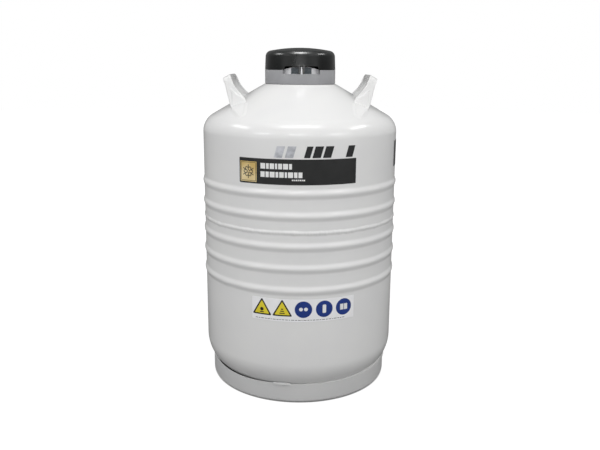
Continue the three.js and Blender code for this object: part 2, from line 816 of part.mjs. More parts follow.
function bored(radius, z, sides) {
  const hole = cylinder(STUD_R + GAP, Math.max(z[0] - 1, STUD_Z[0] - GAP), z[1] + 1, 12);
  return geometryOf(cut(solid(cylinder(radius, ...z, sides)), hole));
}

add("lid_cap", lidCap(), blackPlastic, lock);
add("lid_insulation_pad", bored(PAD_R, PAD_Z, NECK_SIDES), foam, lock);
add("plug_flange", bored(FLANGE_R, FLANGE_Z, NECK_SIDES), greyPlastic, lock);
add("neck_plug", bored(PLUG_R, PLUG_Z, NECK_SIDES), foam, lock);
add("plug_stud", cylinder(STUD_R, ...STUD_Z, 12), steel, lock);

// ---- Canisters: each stands in the spider's pocket and hangs its rod over the index ring ----
function canisterSpider() {
  const disc = turned(
    [
      [0, SPIDER_Z[0]],
      [SPIDER_R - 6, SPIDER_Z[0]],
      [SPIDER_R - 6, SPIDER_FOOT_Z],
      [SPIDER_R, SPIDER_FOOT_Z],
      [SPIDER_R, SPIDER_Z[1]],
      [0, SPIDER_Z[1]],
    ],
    VESSEL_SIDES,
  );
  const pockets = canisterAngles.map((angle) => {
    const [x, y] = round(CANISTER_RING_R, angle);
    return cylinder(CANISTER_R + 1, CANISTER_Z[0] - GAP, SPIDER_Z[1] + 1, 16, x, y);
  });
  return geometryOf(cut(solid(disc), ...pockets));
}

function canister(angle) {
  const inside = CANISTER_R - CANISTER_WALL;
  const cup = turned(
    [
      [0, CANISTER_Z[0]],
      [CANISTER_R, CANISTER_Z[0]],
      [CANISTER_R, CANISTER_Z[1]],
      [inside, CANISTER_Z[1]],
      [inside, CANISTER_Z[0] + CANISTER_WALL],
      [0, CANISTER_Z[0] + CANISTER_WALL],
    ],
    16,
  );
  return cup.translate(0, -CANISTER_RING_R, 0).rotateZ(deg(angle));
}

// A round rod through points given as [distance from the vessel's axis, height],
// in the plane of one canister.
function canisterRod(angle) {
  const besideR = CANISTER_RING_R - CANISTER_R - ROD_R - 1.5 * GAP;
  const hookZ = SLOT_FLOOR_Z + ROD_R + GAP;
  const route = [
    [besideR, ROD_START_Z],
    [besideR, ROD_SHOULDER_Z],
    [ROD_NECK_R, ROD_BEND_Z],
    ...arc(ROD_NECK_R + ROD_HOOK_BEND, hookZ - ROD_HOOK_BEND, ROD_HOOK_BEND, 180, 90, 3),
    [ROD_HOOK_R, hookZ],
  ];
  const sides = 8;
  const rings = route.map(([r, z], i) => {
    const [r0, z0] = route[Math.max(i - 1, 0)];
    const [r1, z1] = route[Math.min(i + 1, route.length - 1)];
    const length = Math.hypot(r1 - r0, z1 - z0);
    const outward = [(z1 - z0) / length, (r0 - r1) / length];
    return Array.from({ length: sides }, (_, j) => {
      const a = (j * 2 * Math.PI) / sides;
      const off = ROD_R * Math.cos(a);
      return new THREE.Vector3(ROD_R * Math.sin(a), -r - off * outward[0], z + off * outward[1]);
    });
  });
  return lofted(rings).rotateZ(deg(angle));
}

add("canister_spider", canisterSpider(), bareAluminium);
canisterAngles.forEach((angle, i) => {
  add(`canister_${i + 1}`, canister(angle), bareAluminium);
  add(`canister_${i + 1}_rod`, canisterRod(angle), steel);
});

// ---- Labels, each a thin sheet round the barrel ----
for (const [name, { angles, z }] of Object.entries(LABELS)) {
  const inner = BARREL_R + GAP;
  const material = name === "safety_label" ? labelWhite : labelBlack;
  add(name, ringPart(inner, inner + LABEL_THICKNESS, angles, z), material);
}

export default dewar;
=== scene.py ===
"""A liquid nitrogen dewar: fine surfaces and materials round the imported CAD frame, in soft light."""

from math import atan, ceil, cos, degrees, exp, hypot, pi, radians, sin, sqrt, tan

import bmesh
import bpy
from mathutils import Matrix, Vector, noise


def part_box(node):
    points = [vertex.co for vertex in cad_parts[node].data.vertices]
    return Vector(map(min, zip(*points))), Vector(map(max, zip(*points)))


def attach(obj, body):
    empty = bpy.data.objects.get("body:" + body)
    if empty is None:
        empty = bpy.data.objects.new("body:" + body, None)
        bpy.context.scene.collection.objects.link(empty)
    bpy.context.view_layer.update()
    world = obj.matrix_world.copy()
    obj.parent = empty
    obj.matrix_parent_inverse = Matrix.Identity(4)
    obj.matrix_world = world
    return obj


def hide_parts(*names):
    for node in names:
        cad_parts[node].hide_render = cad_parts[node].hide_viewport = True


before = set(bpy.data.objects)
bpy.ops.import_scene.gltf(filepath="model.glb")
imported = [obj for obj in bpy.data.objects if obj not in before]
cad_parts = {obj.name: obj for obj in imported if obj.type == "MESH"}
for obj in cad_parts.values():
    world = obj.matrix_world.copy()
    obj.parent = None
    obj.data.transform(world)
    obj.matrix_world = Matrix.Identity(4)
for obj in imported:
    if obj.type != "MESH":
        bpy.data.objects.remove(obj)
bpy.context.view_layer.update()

# ---- Sizes: millimetres, and degrees round from the front, unless they say otherwise ----
MM = 0.001
SMOOTH = 192  # sides of the large round pieces
FINE = 96  # sides of the small ones
GAP = 0.3  # between pieces that touch


def span(node):
    """The lowest and highest corners of a CAD node, in millimetres."""
    low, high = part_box(node)
    return low / MM, high / MM


RIB_HEIGHT = 2.5
RIB_HALF_WIDTH = 10.4
RIB_SUNK = 0.17  # how much lower than its full height a rib stands, and by how much that and its place wander
RIB_SUNK_WANDER = 0.15
RIB_DRIFT = 0.5
BARREL_R = span("upper_outer_shell")[1].x - RIB_HEIGHT
OUTER_WALL = 3
UPPER_RIBS = [371.5, 412.3]
LOWER_RIBS = [231, 273, 314.3]
RIBBED_Z = [218, 425]  # the ribs lie between these heights
GIRTH_Z = (span("upper_outer_shell")[0].z + span("lower_outer_shell")[1].z) / 2
GIRTH_BEAD_HALF_WIDTH = 4.8
GIRTH_BEAD_HEIGHT = 1.1

CONE_TOP_R = 70.4
CONE_TOP_Z = 602.4
CONE_DROP = 0.567
CONE_ANGLE = atan(CONE_DROP)
KNUCKLE_R = 39
SHELL_MOUTH_R = 68
MOUTH_EDGE_R = 76  # where the cone meets the rounding of its mouth

BOTTOM_R = 70
BOTTOM_CORNER_Z = 84
BOTTOM_DISH = [(10.3, 30), (70, 26), (112, 15.5), (142, 16)]

FOOT_R = span("foot_ring")[1].x
FOOT_WALL = 2.5
FOOT_HEIGHT = span("foot_ring")[1].z
FOOT_CURL = 6
FOOT_WELDS = [-10, 80, 170, 260]
FOOT_WELD_HALF_ANGLE = 5.75
FOOT_WELD_SIZE = (6.6, 3.2)  # width and height, as for the other welds
FOOT_SEAM_SIZE = (3.2, 3.2)
FOOT_DIP = 2.2
FOOT_DIP_SPAN = [-64, -15]
FOOT_DIP_FROM_Z = 20

LOCK_TURN = radians(2.2)  # how far the collar and the lid are turned from the front
COLLAR_R = 70
COLLAR_BASE_Z = span("neck_collar")[0].z
COLLAR_DECK_Z = 629.2
COLLAR_FLOOR_Z = 606.5
COLLAR_BORE_R = 44.5
SPIGOT_R = 60
SPIGOT_WALL = 3
SPIGOT_TOP_Z = 630.5
SCREW_RING_R = 50.5
LOCK_HALF_WIDTH = 35.5
LOCK_FLOOR_Z = 621.3
LOCK_CUT_HALF_WIDTH = [33.7, 31.2]
LOCK_CUT_Z = 636.2
ARCH_HALF_WIDTH = 33
ARCH_TOP_Z = 635.2
# half width of the dark sheet of painted reflection on the lock plate
LOCK_DARK_REFLECTION_HALF_WIDTH = 19.5
FIN_Y = [-69, -58]
FIN_HALF_WIDTH = [1.95, 0.6]
FIN_TOP_Z = 635
EAR_X = [2.7, 5.5]
EAR_Y = [-69.6, -60.5]
PADLOCK_HOLE_R = 3.3
PADLOCK_HOLE = [-65, 629]

CAP_WALL = 6
CAP_EDGE_R = 12
CAP_EDGE_Z = 654.5
CAP_TAPER = 1.1
CAP_CEILING_Z = 660
CAP_TOP_Z = span("lid_cap")[1].z
STUD_R = 3

SLOT_ANGLES = [radians(60 * i + 30) for i in range(6)]
CANISTER_RING_R = 62
CANISTER_R = 19
ROD_R = 1.25
SLOT_FLOOR_Z = 610
SLOT_WIDTH = 3.4

STRAP = 3  # thickness of the handles' web and lips
STRAP_LIP = 3
STRAP_ACROSS = Vector((0.87, 0, -0.494))
FOOT_TIP = (107, 131, 8)
FOOT_HEEL = (118, 70.5, 32)
GRIP_END = (142.3, 62, 617.2)
GRIP_WIDTH = 16
FOOT_LIP = 0.8
FOOT_LIFT = 0.9  # height of a foot's face over the shoulder
FILLET_HALF_WIDTH = 7
FILLET_HEIGHT = 1.25
FILLET_SINK = 0.05
FILLET_DEPTH = 1.5  # how far its underside lies below the shoulder
FILLET_REACH = 0.92  # how far up the foot it runs
HEEL_WELD_SIZE = (5, 3.2)
HEEL_WELD_INSET = 2.2

FLOOR_NEAR = 0.12  # how much light the floor throws back, round the vessel and further off
FLOOR_FAR = 0.28
FLOOR_NEAR_TO_FAR = (0.35, 1.3)  # metres from the vessel's axis
FLOOR_GLOW = 0.93  # added for the camera, which sees it as white
ROOM_LIGHT = 0.477
ROOM_LIGHT_BEHIND = 0.08
ROOM_BEHIND = (0.85, 0.97)  # how straight behind a direction is where the room dims, and where it is dimmest


# ---- Profiles, and meshes made from them ----
def arc(centre_r, centre_z, radius, start, end, steps):
    """Profile points round an arc, from one angle to the other, in degrees above the outward direction."""
    angles = [radians(start + (end - start) * i / steps) for i in range(steps + 1)]
    return [(centre_r + radius * cos(a), centre_z + radius * sin(a)) for a in angles]


def rectangle(x0, x1, y0, y1):
    return [(x0, y0), (x1, y0), (x1, y1), (x0, y1)]


def rounded(corners, closed=True):
    """The profile through corners given as (x, y, radius), with each one rounded."""
    points = []
    for i, (x, y, radius) in enumerate(corners):
        at_end = not closed and i in (0, len(corners) - 1)
        if radius == 0 or at_end:
            points.append((x, y))
            continue
        here = Vector((x, y))
        back = Vector(corners[i - 1][:2]) - here
        on = Vector(corners[(i + 1) % len(corners)][:2]) - here
        reach = min(radius / tan(back.angle(on) / 2), back.length * 0.49, on.length * 0.49)
        start = here + back.normalized() * reach
        end = here + on.normalized() * reach
        for k in range(5):
            t = k / 4
            p = start * (1 - t) ** 2 + here * 2 * t * (1 - t) + end * t**2
            points.append((p.x, p.y))
    return points


def turns(count):
    """Angles spread over a full turn, in radians."""
    return [2 * pi * i / count for i in range(count)]


def directions(route):
    """The direction along a route at each of its points."""
    return [(b - a).normalized() for a, b in zip([route[0], *route], [*route[1:], route[-1]])]


def made(name, bm, sharp=35):
    """An object from a bmesh in millimetres, smooth except at edges sharper than the angle."""
    bmesh.ops.remove_doubles(bm, verts=bm.verts, dist=1e-4)
    bmesh.ops.recalc_face_normals(bm, faces=bm.faces)
    bm.transform(Matrix.Scale(MM, 4))
    mesh = bpy.data.meshes.new(name)
    bm.to_mesh(mesh)
    bm.free()
    mesh.shade_smooth()
    mesh.set_sharp_from_angle(angle=radians(sharp))
    obj = bpy.data.objects.new(name, mesh)
    bpy.context.scene.collection.objects.link(obj)
    return obj


def lathe(name, profile, sides=SMOOTH, closed=True, shift=None):
    """A solid of revolution. shift moves a profile point by its angle: (angle, r, z) to (r, z)."""
    bm = bmesh.new()
    rings = []
    for a in turns(sides):
        moved = [shift(a, r, z) for r, z in profile] if shift else profile
        rings.append([bm.verts.new((r * sin(a), -r * cos(a), z)) for r, z in moved])
    count = len(profile)
    for here, there in zip(rings, rings[1:] + rings[:1]):
        for j in range(count if closed else count - 1):
            k = (j + 1) % count
            bm.faces.new((here[j], there[j], there[k], here[k]))
    return made(name, bm)


def loft(name, rings, sharp=35):
    """A closed solid through rings that have the same number of points."""
    bm = bmesh.new()
    rows = [[bm.verts.new(p) for p in ring] for ring in rings]
    for here, there in zip(rows, rows[1:]):
        for j in range(len(here)):
            k = (j + 1) % len(here)
            bm.faces.new((here[j], here[k], there[k], there[j]))
    bm.faces.new(rows[0])
    bm.faces.new(rows[-1])
    return made(name, bm, sharp)


def block(x, y, z):
    """A closed box, used to cut other meshes."""
    return loft("block", [[Vector((a, b, h)) for a, b in rectangle(*x, *y)] for h in z])


def slab(outline, y):
    """An outline in X and Z with a thickness along Y."""
    return loft("slab", [[Vector((a, depth, h)) for a, h in outline] for depth in y])


def rod(centre, axis, radius, length, sides=32):
    """A closed round bar about a centre, used to cut holes."""
    across = axis.orthogonal().normalized()
    other = axis.cross(across)
    rim = [(across * cos(a) + other * sin(a)) * radius for a in turns(sides)]
    return loft("rod", [[centre + axis * s * length / 2 + p for p in rim] for s in (-1, 1)])


def combine(obj, operation, *tools):
    """Cuts an object by the tools, or joins them to it, and deletes them."""
    for tool in tools:
        change = obj.modifiers.new("combine", "BOOLEAN")
        change.operation = operation
        change.object = tool
        change.solver = "EXACT"
        bpy.context.view_layer.update()
        result = bpy.data.meshes.new_from_object(obj.evaluated_get(bpy.context.evaluated_depsgraph_get()))
        obj.modifiers.clear()
        obj.data = result
        bpy.data.objects.remove(tool)
    obj.data.shade_smooth()
    obj.data.set_sharp_from_angle(angle=radians(35))
    return obj


def soften(obj, width):
    """Rounds an object's sharp edges."""
    bevel = obj.modifiers.new("soften", "BEVEL")
    bevel.width = width * MM
    bevel.segments = 2
    bevel.limit_method = "ANGLE"
    bevel.angle_limit = radians(40)
    bevel.harden_normals = True
    return obj


def turned(obj, angle):
    """Turns an object's mesh about the vessel's axis, in radians."""
    obj.data.transform(Matrix.Rotation(angle, 4, "Z"))
    return obj


def piece(obj, name, body, slot, material, *nodes):
    """Names a piece, gives it its material and body, and hides the CAD nodes it stands for."""
    obj.name = name
    obj.data.materials.clear()
    obj.data.materials.append(material)
    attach(obj, body)
    if nodes:
        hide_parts(*nodes)


def cone_z(r):
    return CONE_TOP_Z - CONE_DROP * (r - CONE_TOP_R)


def mix(a, b, t):
    return a + (b - a) * t


# ---- Materials ----
class Nodes:
    """A node tree, with short ways to add to it."""

    def __init__(self, tree):
        self.tree = tree

    def link(self, output, target):
        self.tree.links.new(output, target)

    def node(self, kind, **values):
        node = self.tree.nodes.new(kind)
        for key, value in values.items():
            node.inputs[key.replace("_", " ")].default_value = value
        return node

    def ranged(self, fac, source, target):
        (a, b), (c, d) = source, target
        node = self.node("ShaderNodeMapRange", From_Min=a, From_Max=b, To_Min=c, To_Max=d)
        self.link(fac, node.inputs["Value"])
        return node.outputs["Result"]

    def shown_to_camera(self, seen, unseen, output):
        """Gives an output one shader for the camera and another for all other light."""
        blend = self.node("ShaderNodeMixShader")
        self.link(self.node("ShaderNodeLightPath").outputs["Is Camera Ray"], blend.inputs[0])
        self.link(unseen.outputs[0], blend.inputs[1])
        self.link(seen.outputs[0], blend.inputs[2])
        self.link(blend.outputs[0], self.tree.nodes[output].inputs["Surface"])


class Surface(Nodes):
    """A Principled material whose colour, gloss and bumps come from noise in object space."""

    def __init__(self, name, colour, roughness, metallic=0.0, coat=0.0):
        self.material = bpy.data.materials.new(name)
        self.material.use_nodes = True
        super().__init__(self.material.node_tree)
        self.shader = self.tree.nodes["Principled BSDF"]
        self.bump_before = None
        values = {"Base Color": (*colour, 1), "Roughness": roughness, "Metallic": metallic}
        values |= {"Coat Weight": coat, "Coat Roughness": 0.12}
        for key, value in values.items():
            self.shader.inputs[key].default_value = value

    def place(self, stretch=(1, 1, 1), rotation=(0, 0, 0)):
        coordinates = self.node("ShaderNodeTexCoord")
        mapping = self.node("ShaderNodeMapping", Scale=stretch, Rotation=rotation)
        self.link(coordinates.outputs["Object"], mapping.inputs["Vector"])
        return mapping.outputs["Vector"]

    def noise(self, scale, detail=3.0, stretch=(1, 1, 1)):
        node = self.node("ShaderNodeTexNoise", Scale=scale, Detail=detail)
        self.link(self.place(stretch), node.inputs["Vector"])
        return node.outputs["Fac"]

    def cells(self, scale, feature="F1"):
        node = self.node("ShaderNodeTexVoronoi", Scale=scale)
        node.feature = feature
        self.link(self.place(), node.inputs["Vector"])
        return node.outputs["Distance"]

    def waves(self, rotation, distortion=0.5):
        node = self.node("ShaderNodeTexWave", Scale=160, Distortion=distortion, Detail=2.0)
        node.bands_direction = "Z"
        self.link(self.place(rotation=rotation), node.inputs["Vector"])
        return node.outputs["Fac"]

    def colours(self, fac, first, second, source=(0.35, 0.65)):
        node = self.node("ShaderNodeMix")
        node.data_type = "RGBA"
        for colour, target in zip((first, second), [i for i in node.inputs if i.type == "RGBA"]):
            target.default_value = (*colour, 1)
        self.link(self.ranged(fac, source, (0, 1)), node.inputs[0])
        output = next(o for o in node.outputs if o.type == "RGBA")
        self.link(output, self.shader.inputs["Base Color"])

    def gloss(self, fac, low, high):
        self.link(self.ranged(fac, (0.3, 0.7), (low, high)), self.shader.inputs["Roughness"])

    def bump(self, height, strength, distance):
        node = self.node("ShaderNodeBump", Strength=strength, Distance=distance)
        self.link(height, node.inputs["Height"])
        if self.bump_before:
            self.link(self.bump_before, node.inputs["Normal"])
        self.bump_before = node.outputs["Normal"]
        self.link(self.bump_before, self.shader.inputs["Normal"])


def white_powder_coat():
    s = Surface("white powder coat", (0.77, 0.77, 0.765), 0.15)
    s.colours(s.noise(9), (0.76, 0.76, 0.76), (0.785, 0.785, 0.778))
    s.gloss(s.noise(30), 0.16, 0.21)
    s.bump(s.noise(9, 1, stretch=(1, 1, 0.5)), 0.35, 0.0012)
    s.bump(s.noise(210, 1), 0.1, 0.00012)
    return s.material


def ring_coat_painted_shade():
    """The foot ring's coat: the vessel's white paint, duller, and made a little greyer with painted shade for
    the low foot, which gets less light.
    """
    s = Surface("white coat with painted shade", (0.61, 0.61, 0.61), 0.36)
    s.colours(s.noise(9), (0.6, 0.602, 0.602), (0.625, 0.625, 0.622))
    s.gloss(s.noise(12, 2), 0.34, 0.38)
    s.bump(s.noise(260, 1), 0.06, 0.0001)
    return s.material


def black_plastic():
    s = Surface("black moulded plastic", (0.0012, 0.0012, 0.0012), 0.25)
    s.colours(s.noise(40), (0.001, 0.0011, 0.0011), (0.0015, 0.0017, 0.0017))
    s.gloss(s.noise(60), 0.27, 0.31)
    s.shader.inputs["Specular IOR Level"].default_value = 0.19
    s.bump(s.noise(1500, 2), 0.05, 0.00005)
    return s.material


def moulded_plastic(name, colour, first, second, scales, gloss):
    """Smooth plastic with a fine grain. The scales are for its changes in colour and in gloss."""
    s = Surface(name, colour, 0.3)
    s.colours(s.noise(scales[0]), first, second)
    s.gloss(s.noise(scales[1]), *gloss)
    s.bump(s.noise(1300, 2), 0.05, 0.00005)
    return s.material


def glass_fibre():
    s = Surface("wound glass fibre", (0.5, 0.45, 0.25), 0.35, coat=0.4)
    s.colours(s.waves((0.9, 0, 0), 1.5), (0.42, 0.37, 0.19), (0.6, 0.56, 0.36), (0.2, 0.8))
    for lean in (0.9, -0.9):
        s.bump(s.waves((lean, 0, 0)), 0.2, 0.0002)
    return s.material


def bare_aluminium():
    s = Surface("spun aluminium", (0.72, 0.73, 0.74), 0.35, metallic=1.0)
    s.colours(s.noise(30, 4), (0.68, 0.69, 0.7), (0.78, 0.79, 0.8))
    s.gloss(s.noise(60, 4, stretch=(1, 1, 12)), 0.26, 0.45)
    s.bump(s.noise(90, 4, stretch=(1, 1, 14)), 0.25, 0.0001)
    return s.material


def stainless_steel():
    s = Surface("stainless steel", (0.66, 0.66, 0.66), 0.28, metallic=1.0)
    s.colours(s.noise(120, 4), (0.6, 0.6, 0.6), (0.72, 0.72, 0.72))
    s.gloss(s.noise(400), 0.2, 0.36)
    s.bump(s.noise(700), 0.1, 0.0001)
    return s.material


def foam():
    s = Surface("moulded foam", (0.82, 0.8, 0.73), 0.85)
    s.colours(s.noise(50, 4), (0.78, 0.76, 0.68), (0.86, 0.84, 0.77))
    s.bump(s.cells(380), 0.5, 0.0005)
    s.bump(s.noise(900), 0.25, 0.0002)
    return s.material


def foil_wrap():
    s = Surface("crinkled foil", (0.75, 0.76, 0.77), 0.28, metallic=1.0)
    s.colours(s.noise(25, 4), (0.7, 0.71, 0.72), (0.8, 0.81, 0.82))
    s.gloss(s.noise(60, 4), 0.2, 0.4)
    s.bump(s.cells(55, "DISTANCE_TO_EDGE"), 0.6, 0.002)
    return s.material


def label_film(name, first, second, gloss=(0.28, 0.42)):
    s = Surface(name, first, gloss[0], coat=0.15)
    s.colours(s.noise(60, 4), first, second)
    s.gloss(s.noise(140, 4), *gloss)
    s.bump(s.noise(500, 2), 0.06, 0.0001)
    return s.material


def gold_film():
    s = Surface("gold print", (0.7, 0.52, 0.2), 0.3, metallic=0.2)
    s.colours(s.noise(24, 1), (0.62, 0.44, 0.15), (0.95, 0.82, 0.52))
    s.gloss(s.noise(120), 0.25, 0.4)
    return s.material


def pale_floor():
    """A matt floor that the camera sees as nearly white, except inside the foot ring, where its glow fades
    out under the ring's curl: a painted contact shadow.
    """
    s = Surface("pale floor", [FLOOR_FAR] * 3, 0.8)
    length = s.node("ShaderNodeVectorMath")
    length.operation = "LENGTH"
    s.link(s.place(), length.inputs[0])
    away = length.outputs["Value"]
    s.colours(away, [FLOOR_NEAR] * 3, [FLOOR_FAR] * 3, FLOOR_NEAR_TO_FAR)
    glow = s.node("ShaderNodeEmission")
    # The glow stops under the ring's curl: painted shade where the ring meets the floor.
    edge = (FOOT_R * MM - 0.004, FOOT_R * MM)
    s.link(s.ranged(away, edge, (0, FLOOR_GLOW)), glow.inputs["Strength"])
    both = s.node("ShaderNodeAddShader")
    s.link(s.shader.outputs[0], both.inputs[0])
    s.link(glow.outputs[0], both.inputs[1])
    s.shown_to_camera(both, s.shader, "Material Output")
    return s.material


WHITE = white_powder_coat()
# A darker copy of the white paint: painted shade for the foot ring, its seam and its welds.
RING_COAT_PAINTED_SHADE = ring_coat_painted_shade()
BLACK = black_plastic()
GREY = moulded_plastic(
    "grey moulded plastic", (0.2, 0.2, 0.215), (0.31, 0.312, 0.325), (0.33, 0.332, 0.345),
    scales=(30, 60), gloss=(0.18, 0.26),
)
# Pale plastic for the lock plate: its pale colour is a painted reflection.
PALE_PAINTED_REFLECTION = moulded_plastic(
    "grey plastic with pale painted reflection", (0.6, 0.6, 0.62), (0.76, 0.76, 0.78), (0.82, 0.82, 0.84),
    scales=(40, 90), gloss=(0.22, 0.32),
)
# Dark slate plastic for the middle of the lock plate: a painted reflection.
SLATE_PAINTED_REFLECTION = moulded_plastic(
    "grey plastic with dark painted reflection", (0.06, 0.075, 0.088), (0.055, 0.07, 0.082), (0.068, 0.084, 0.098),
    scales=(60, 90), gloss=(0.2, 0.32),
)
FIBRE = glass_fibre()
ALUMINIUM = bare_aluminium()
STEEL = stainless_steel()
FOAM = foam()
FOIL = foil_wrap()
LABEL_BLACK = label_film("black label", (0.007, 0.0075, 0.0075), (0.011, 0.0115, 0.0115))
LABEL_WHITE = label_film("white label", (0.86, 0.86, 0.875), (0.89, 0.89, 0.905))
PRINT_BLACK = label_film("black print", (0.007, 0.007, 0.008), (0.011, 0.011, 0.012))
PRINT_SILVER = label_film("silver print", (0.34, 0.35, 0.38), (0.6, 0.61, 0.65), (0.2, 0.35))
PRINT_YELLOW = label_film("yellow print", (0.74, 0.61, 0.03), (0.8, 0.67, 0.04))
PRINT_BLUE = label_film("blue print", (0.006, 0.03, 0.2), (0.008, 0.036, 0.23))
PRINT_WHITE = label_film("white print", (0.78, 0.78, 0.78), (0.84, 0.84, 0.84))
GOLD = gold_film()


def painted(obj, name, *nodes, coat=WHITE):
    """Names a coated piece of the vessel, as piece() does."""
    piece(obj, name, "vessel", "white_powder_coat", coat, *nodes)


# ---- Outer vessel ----
def barrel(low, high, ribs):
    """The barrel's outline between two heights, with its ribs."""
    count = round((high - low) / 1.4)
    points = []
    for i in range(count + 1):
        z = mix(low, high, i / count)
        near = [pi * (z - rib) / RIB_HALF_WIDTH for rib in ribs if abs(z - rib) < RIB_HALF_WIDTH]
        points.append((BARREL_R + sum(RIB_HEIGHT * (0.5 + 0.5 * cos(a)) for a in near), z))
    return points


def uneven(a, r, z):
    """The slight unevenness of ribs rolled into sheet."""
    proud = max(0, r - BARREL_R) / RIB_HEIGHT
    here = Vector((3 * cos(a), 3 * sin(a), z * 0.02))
    sunk = RIB_SUNK + RIB_SUNK_WANDER * noise.noise(here * 3)
    drift = RIB_DRIFT * noise.noise(here * 2 + Vector((7, 7, 7)))
    return r - proud * sunk, z + proud * drift


knuckle_end = 90 - degrees(CONE_ANGLE)
knuckle_z = cone_z(BARREL_R - KNUCKLE_R * (1 - cos(radians(knuckle_end))))
knuckle_z -= KNUCKLE_R * sin(radians(knuckle_end))


def shoulder(inset):
    """The knuckle's arc, from the barrel up to the cone, moved in by an inset."""
    return arc(BARREL_R - KNUCKLE_R, knuckle_z, KNUCKLE_R - inset, 0, knuckle_end, 16)


def upper_shell():
    lip_z = cone_z(CONE_TOP_R + 1)
    edge = (MOUTH_EDGE_R, cone_z(MOUTH_EDGE_R), 0)
    lip = rounded([edge, (CONE_TOP_R + 1, lip_z, 0.5), (SHELL_MOUTH_R, lip_z, 0)], closed=False)
    wall = barrel(GIRTH_Z + GAP, RIBBED_Z[1], UPPER_RIBS) + [(BARREL_R, 450), (BARREL_R, 480)]
    cone = [(r, cone_z(r)) for r in (150, 125, 100, 85, MOUTH_EDGE_R)]
    outside = wall + shoulder(0) + cone + lip[1:]
    inside = [(SHELL_MOUTH_R, lip_z - OUTER_WALL), *shoulder(OUTER_WALL)[::-1]]
    inside.append((BARREL_R - OUTER_WALL, GIRTH_Z + GAP))
    return lathe("upper_shell", outside + inside, shift=uneven)


def bottom_head(inset):
    """The dished bottom and its corner, up to the barrel, moved in by an inset."""
    dish = [(r, z + inset) for r, z in BOTTOM_DISH]
    return dish + arc(BARREL_R - BOTTOM_R, BOTTOM_CORNER_Z, BOTTOM_R - inset, -65, 0, 22)


def lower_shell():
    plain = [(BARREL_R, z) for z in (110, 145, 180, 205)]
    wall = barrel(RIBBED_Z[0], GIRTH_Z - GAP, LOWER_RIBS) + [(BARREL_R - OUTER_WALL, GIRTH_Z - GAP)]
    return lathe("lower_shell", bottom_head(0) + plain + wall + bottom_head(OUTER_WALL)[::-1], shift=uneven)


def girth_bead():
    """The welded seam: a low bead whose height and width wander as a hand weld's do."""

    def wander(a, r, z):
        here = Vector((cos(a), sin(a), 0))
        swell = 0.03 * sin(a * 230) + 0.5 * noise.noise(here * 9) + 0.35 * noise.noise(here * 30)
        drift = 1.1 * noise.noise(here * 4) + 0.45 * noise.noise(here * 22)
        return r + swell * (r - BARREL_R), GIRTH_Z + (z - GIRTH_Z) * (1 + 0.3 * swell) + drift

    profile = []
    for i in range(11):
        height = GIRTH_BEAD_HEIGHT * sin(pi * (i / 10)) ** 1.5
        z = GIRTH_Z + mix(-GIRTH_BEAD_HALF_WIDTH, GIRTH_BEAD_HALF_WIDTH, i / 10)
        profile.append((BARREL_R + 0.05 + height, z))
    return lathe("girth_bead", profile, sides=900, shift=wander)


def foot():
    """The foot ring. Its upper edge dips a little between two welds, which leaves a dark gap there."""

    def trimmed(a, r, z):
        way = (degrees(a) + 180) % 360 - 180
        start, end = FOOT_DIP_SPAN
        place = min(1, max(0, (way - start) / (end - start)))
        dip = FOOT_DIP * sin(pi * place) * max(0, z - FOOT_DIP_FROM_Z)
        return r, z - dip / (FOOT_HEIGHT - FOOT_DIP_FROM_Z)

    inner = FOOT_R - FOOT_WALL
    outside = arc(FOOT_R - FOOT_CURL, FOOT_CURL, FOOT_CURL, 0, -90, 10)
    inside = arc(FOOT_R - FOOT_CURL, FOOT_CURL, FOOT_CURL - FOOT_WALL, -90, 0, 6)
    top = [(inner, FOOT_HEIGHT, 0.8), (FOOT_R, FOOT_HEIGHT, 0.8)]
    edge = rounded([(inner, FOOT_DIP_FROM_Z, 0), *top, (FOOT_R, FOOT_DIP_FROM_Z, 0)], closed=False)
    flange = [(inner - FOOT_CURL, 0), (inner - FOOT_CURL, FOOT_WALL)]
    return lathe("foot", outside + flange + inside + edge, shift=trimmed)


def bead(name, route, normals, size, lumps=9):
    """A weld bead along a route: an oval section that tapers at the ends and carries ripples."""
    rings = []
    for i, (here, normal, along) in enumerate(zip(route, normals, directions(route))):
        across = along.cross(normal).normalized()
        t = 2 * i / (len(route) - 1) - 1
        full = max(0.15, (1 - abs(t) ** 6) ** 0.5)
        full *= 1 + 0.08 * sin(pi * lumps * (t + 1)) + 0.1 * noise.noise(here * 0.4)
        oval = [across * cos(a) * size[0] / 2 + normal * sin(a) * size[1] / 2 for a in turns(14)]
        rings.append([here + offset * full for offset in oval])
    return loft(name, rings)


def around(radius, angle, z):
    """The point at a radius and height, an angle in degrees round from the front."""
    a = radians(angle)
    return Vector((radius * sin(a), -radius * cos(a), z))


def foot_weld(angle):
    half = FOOT_WELD_HALF_ANGLE
    angles = [angle + half * (i / 20 - 1) for i in range(41)]
    route = [around(FOOT_R + 0.2, a, FOOT_HEIGHT - 0.6) for a in angles]
    normals = [around(1, a, 0.25).normalized() for a in angles]
    return bead("foot_weld", route, normals, FOOT_WELD_SIZE)


def foot_seam():
    """The paint and weld that fill the joint of ring and vessel, except where the ring dips."""
    first, last = FOOT_WELDS[0], 360 + FOOT_DIP_SPAN[0]
    angles = [mix(first, last, i / 240) for i in range(241)]
    route = []
    for a in angles:
        sunk = mix(1.3, 0.3, min(1, (a - first) / 60, (last - a) / 20))
        route.append(around(FOOT_R - FOOT_WALL - 0.6, a, FOOT_HEIGHT - sunk))
    normals = [around(1, a, 1).normalized() for a in angles]
    return bead("foot_seam", route, normals, FOOT_SEAM_SIZE, lumps=60)


painted(upper_shell(), "upper_shell", "upper_outer_shell")
painted(lower_shell(), "lower_shell", "lower_outer_shell")
painted(girth_bead(), "girth_bead", "girth_weld")
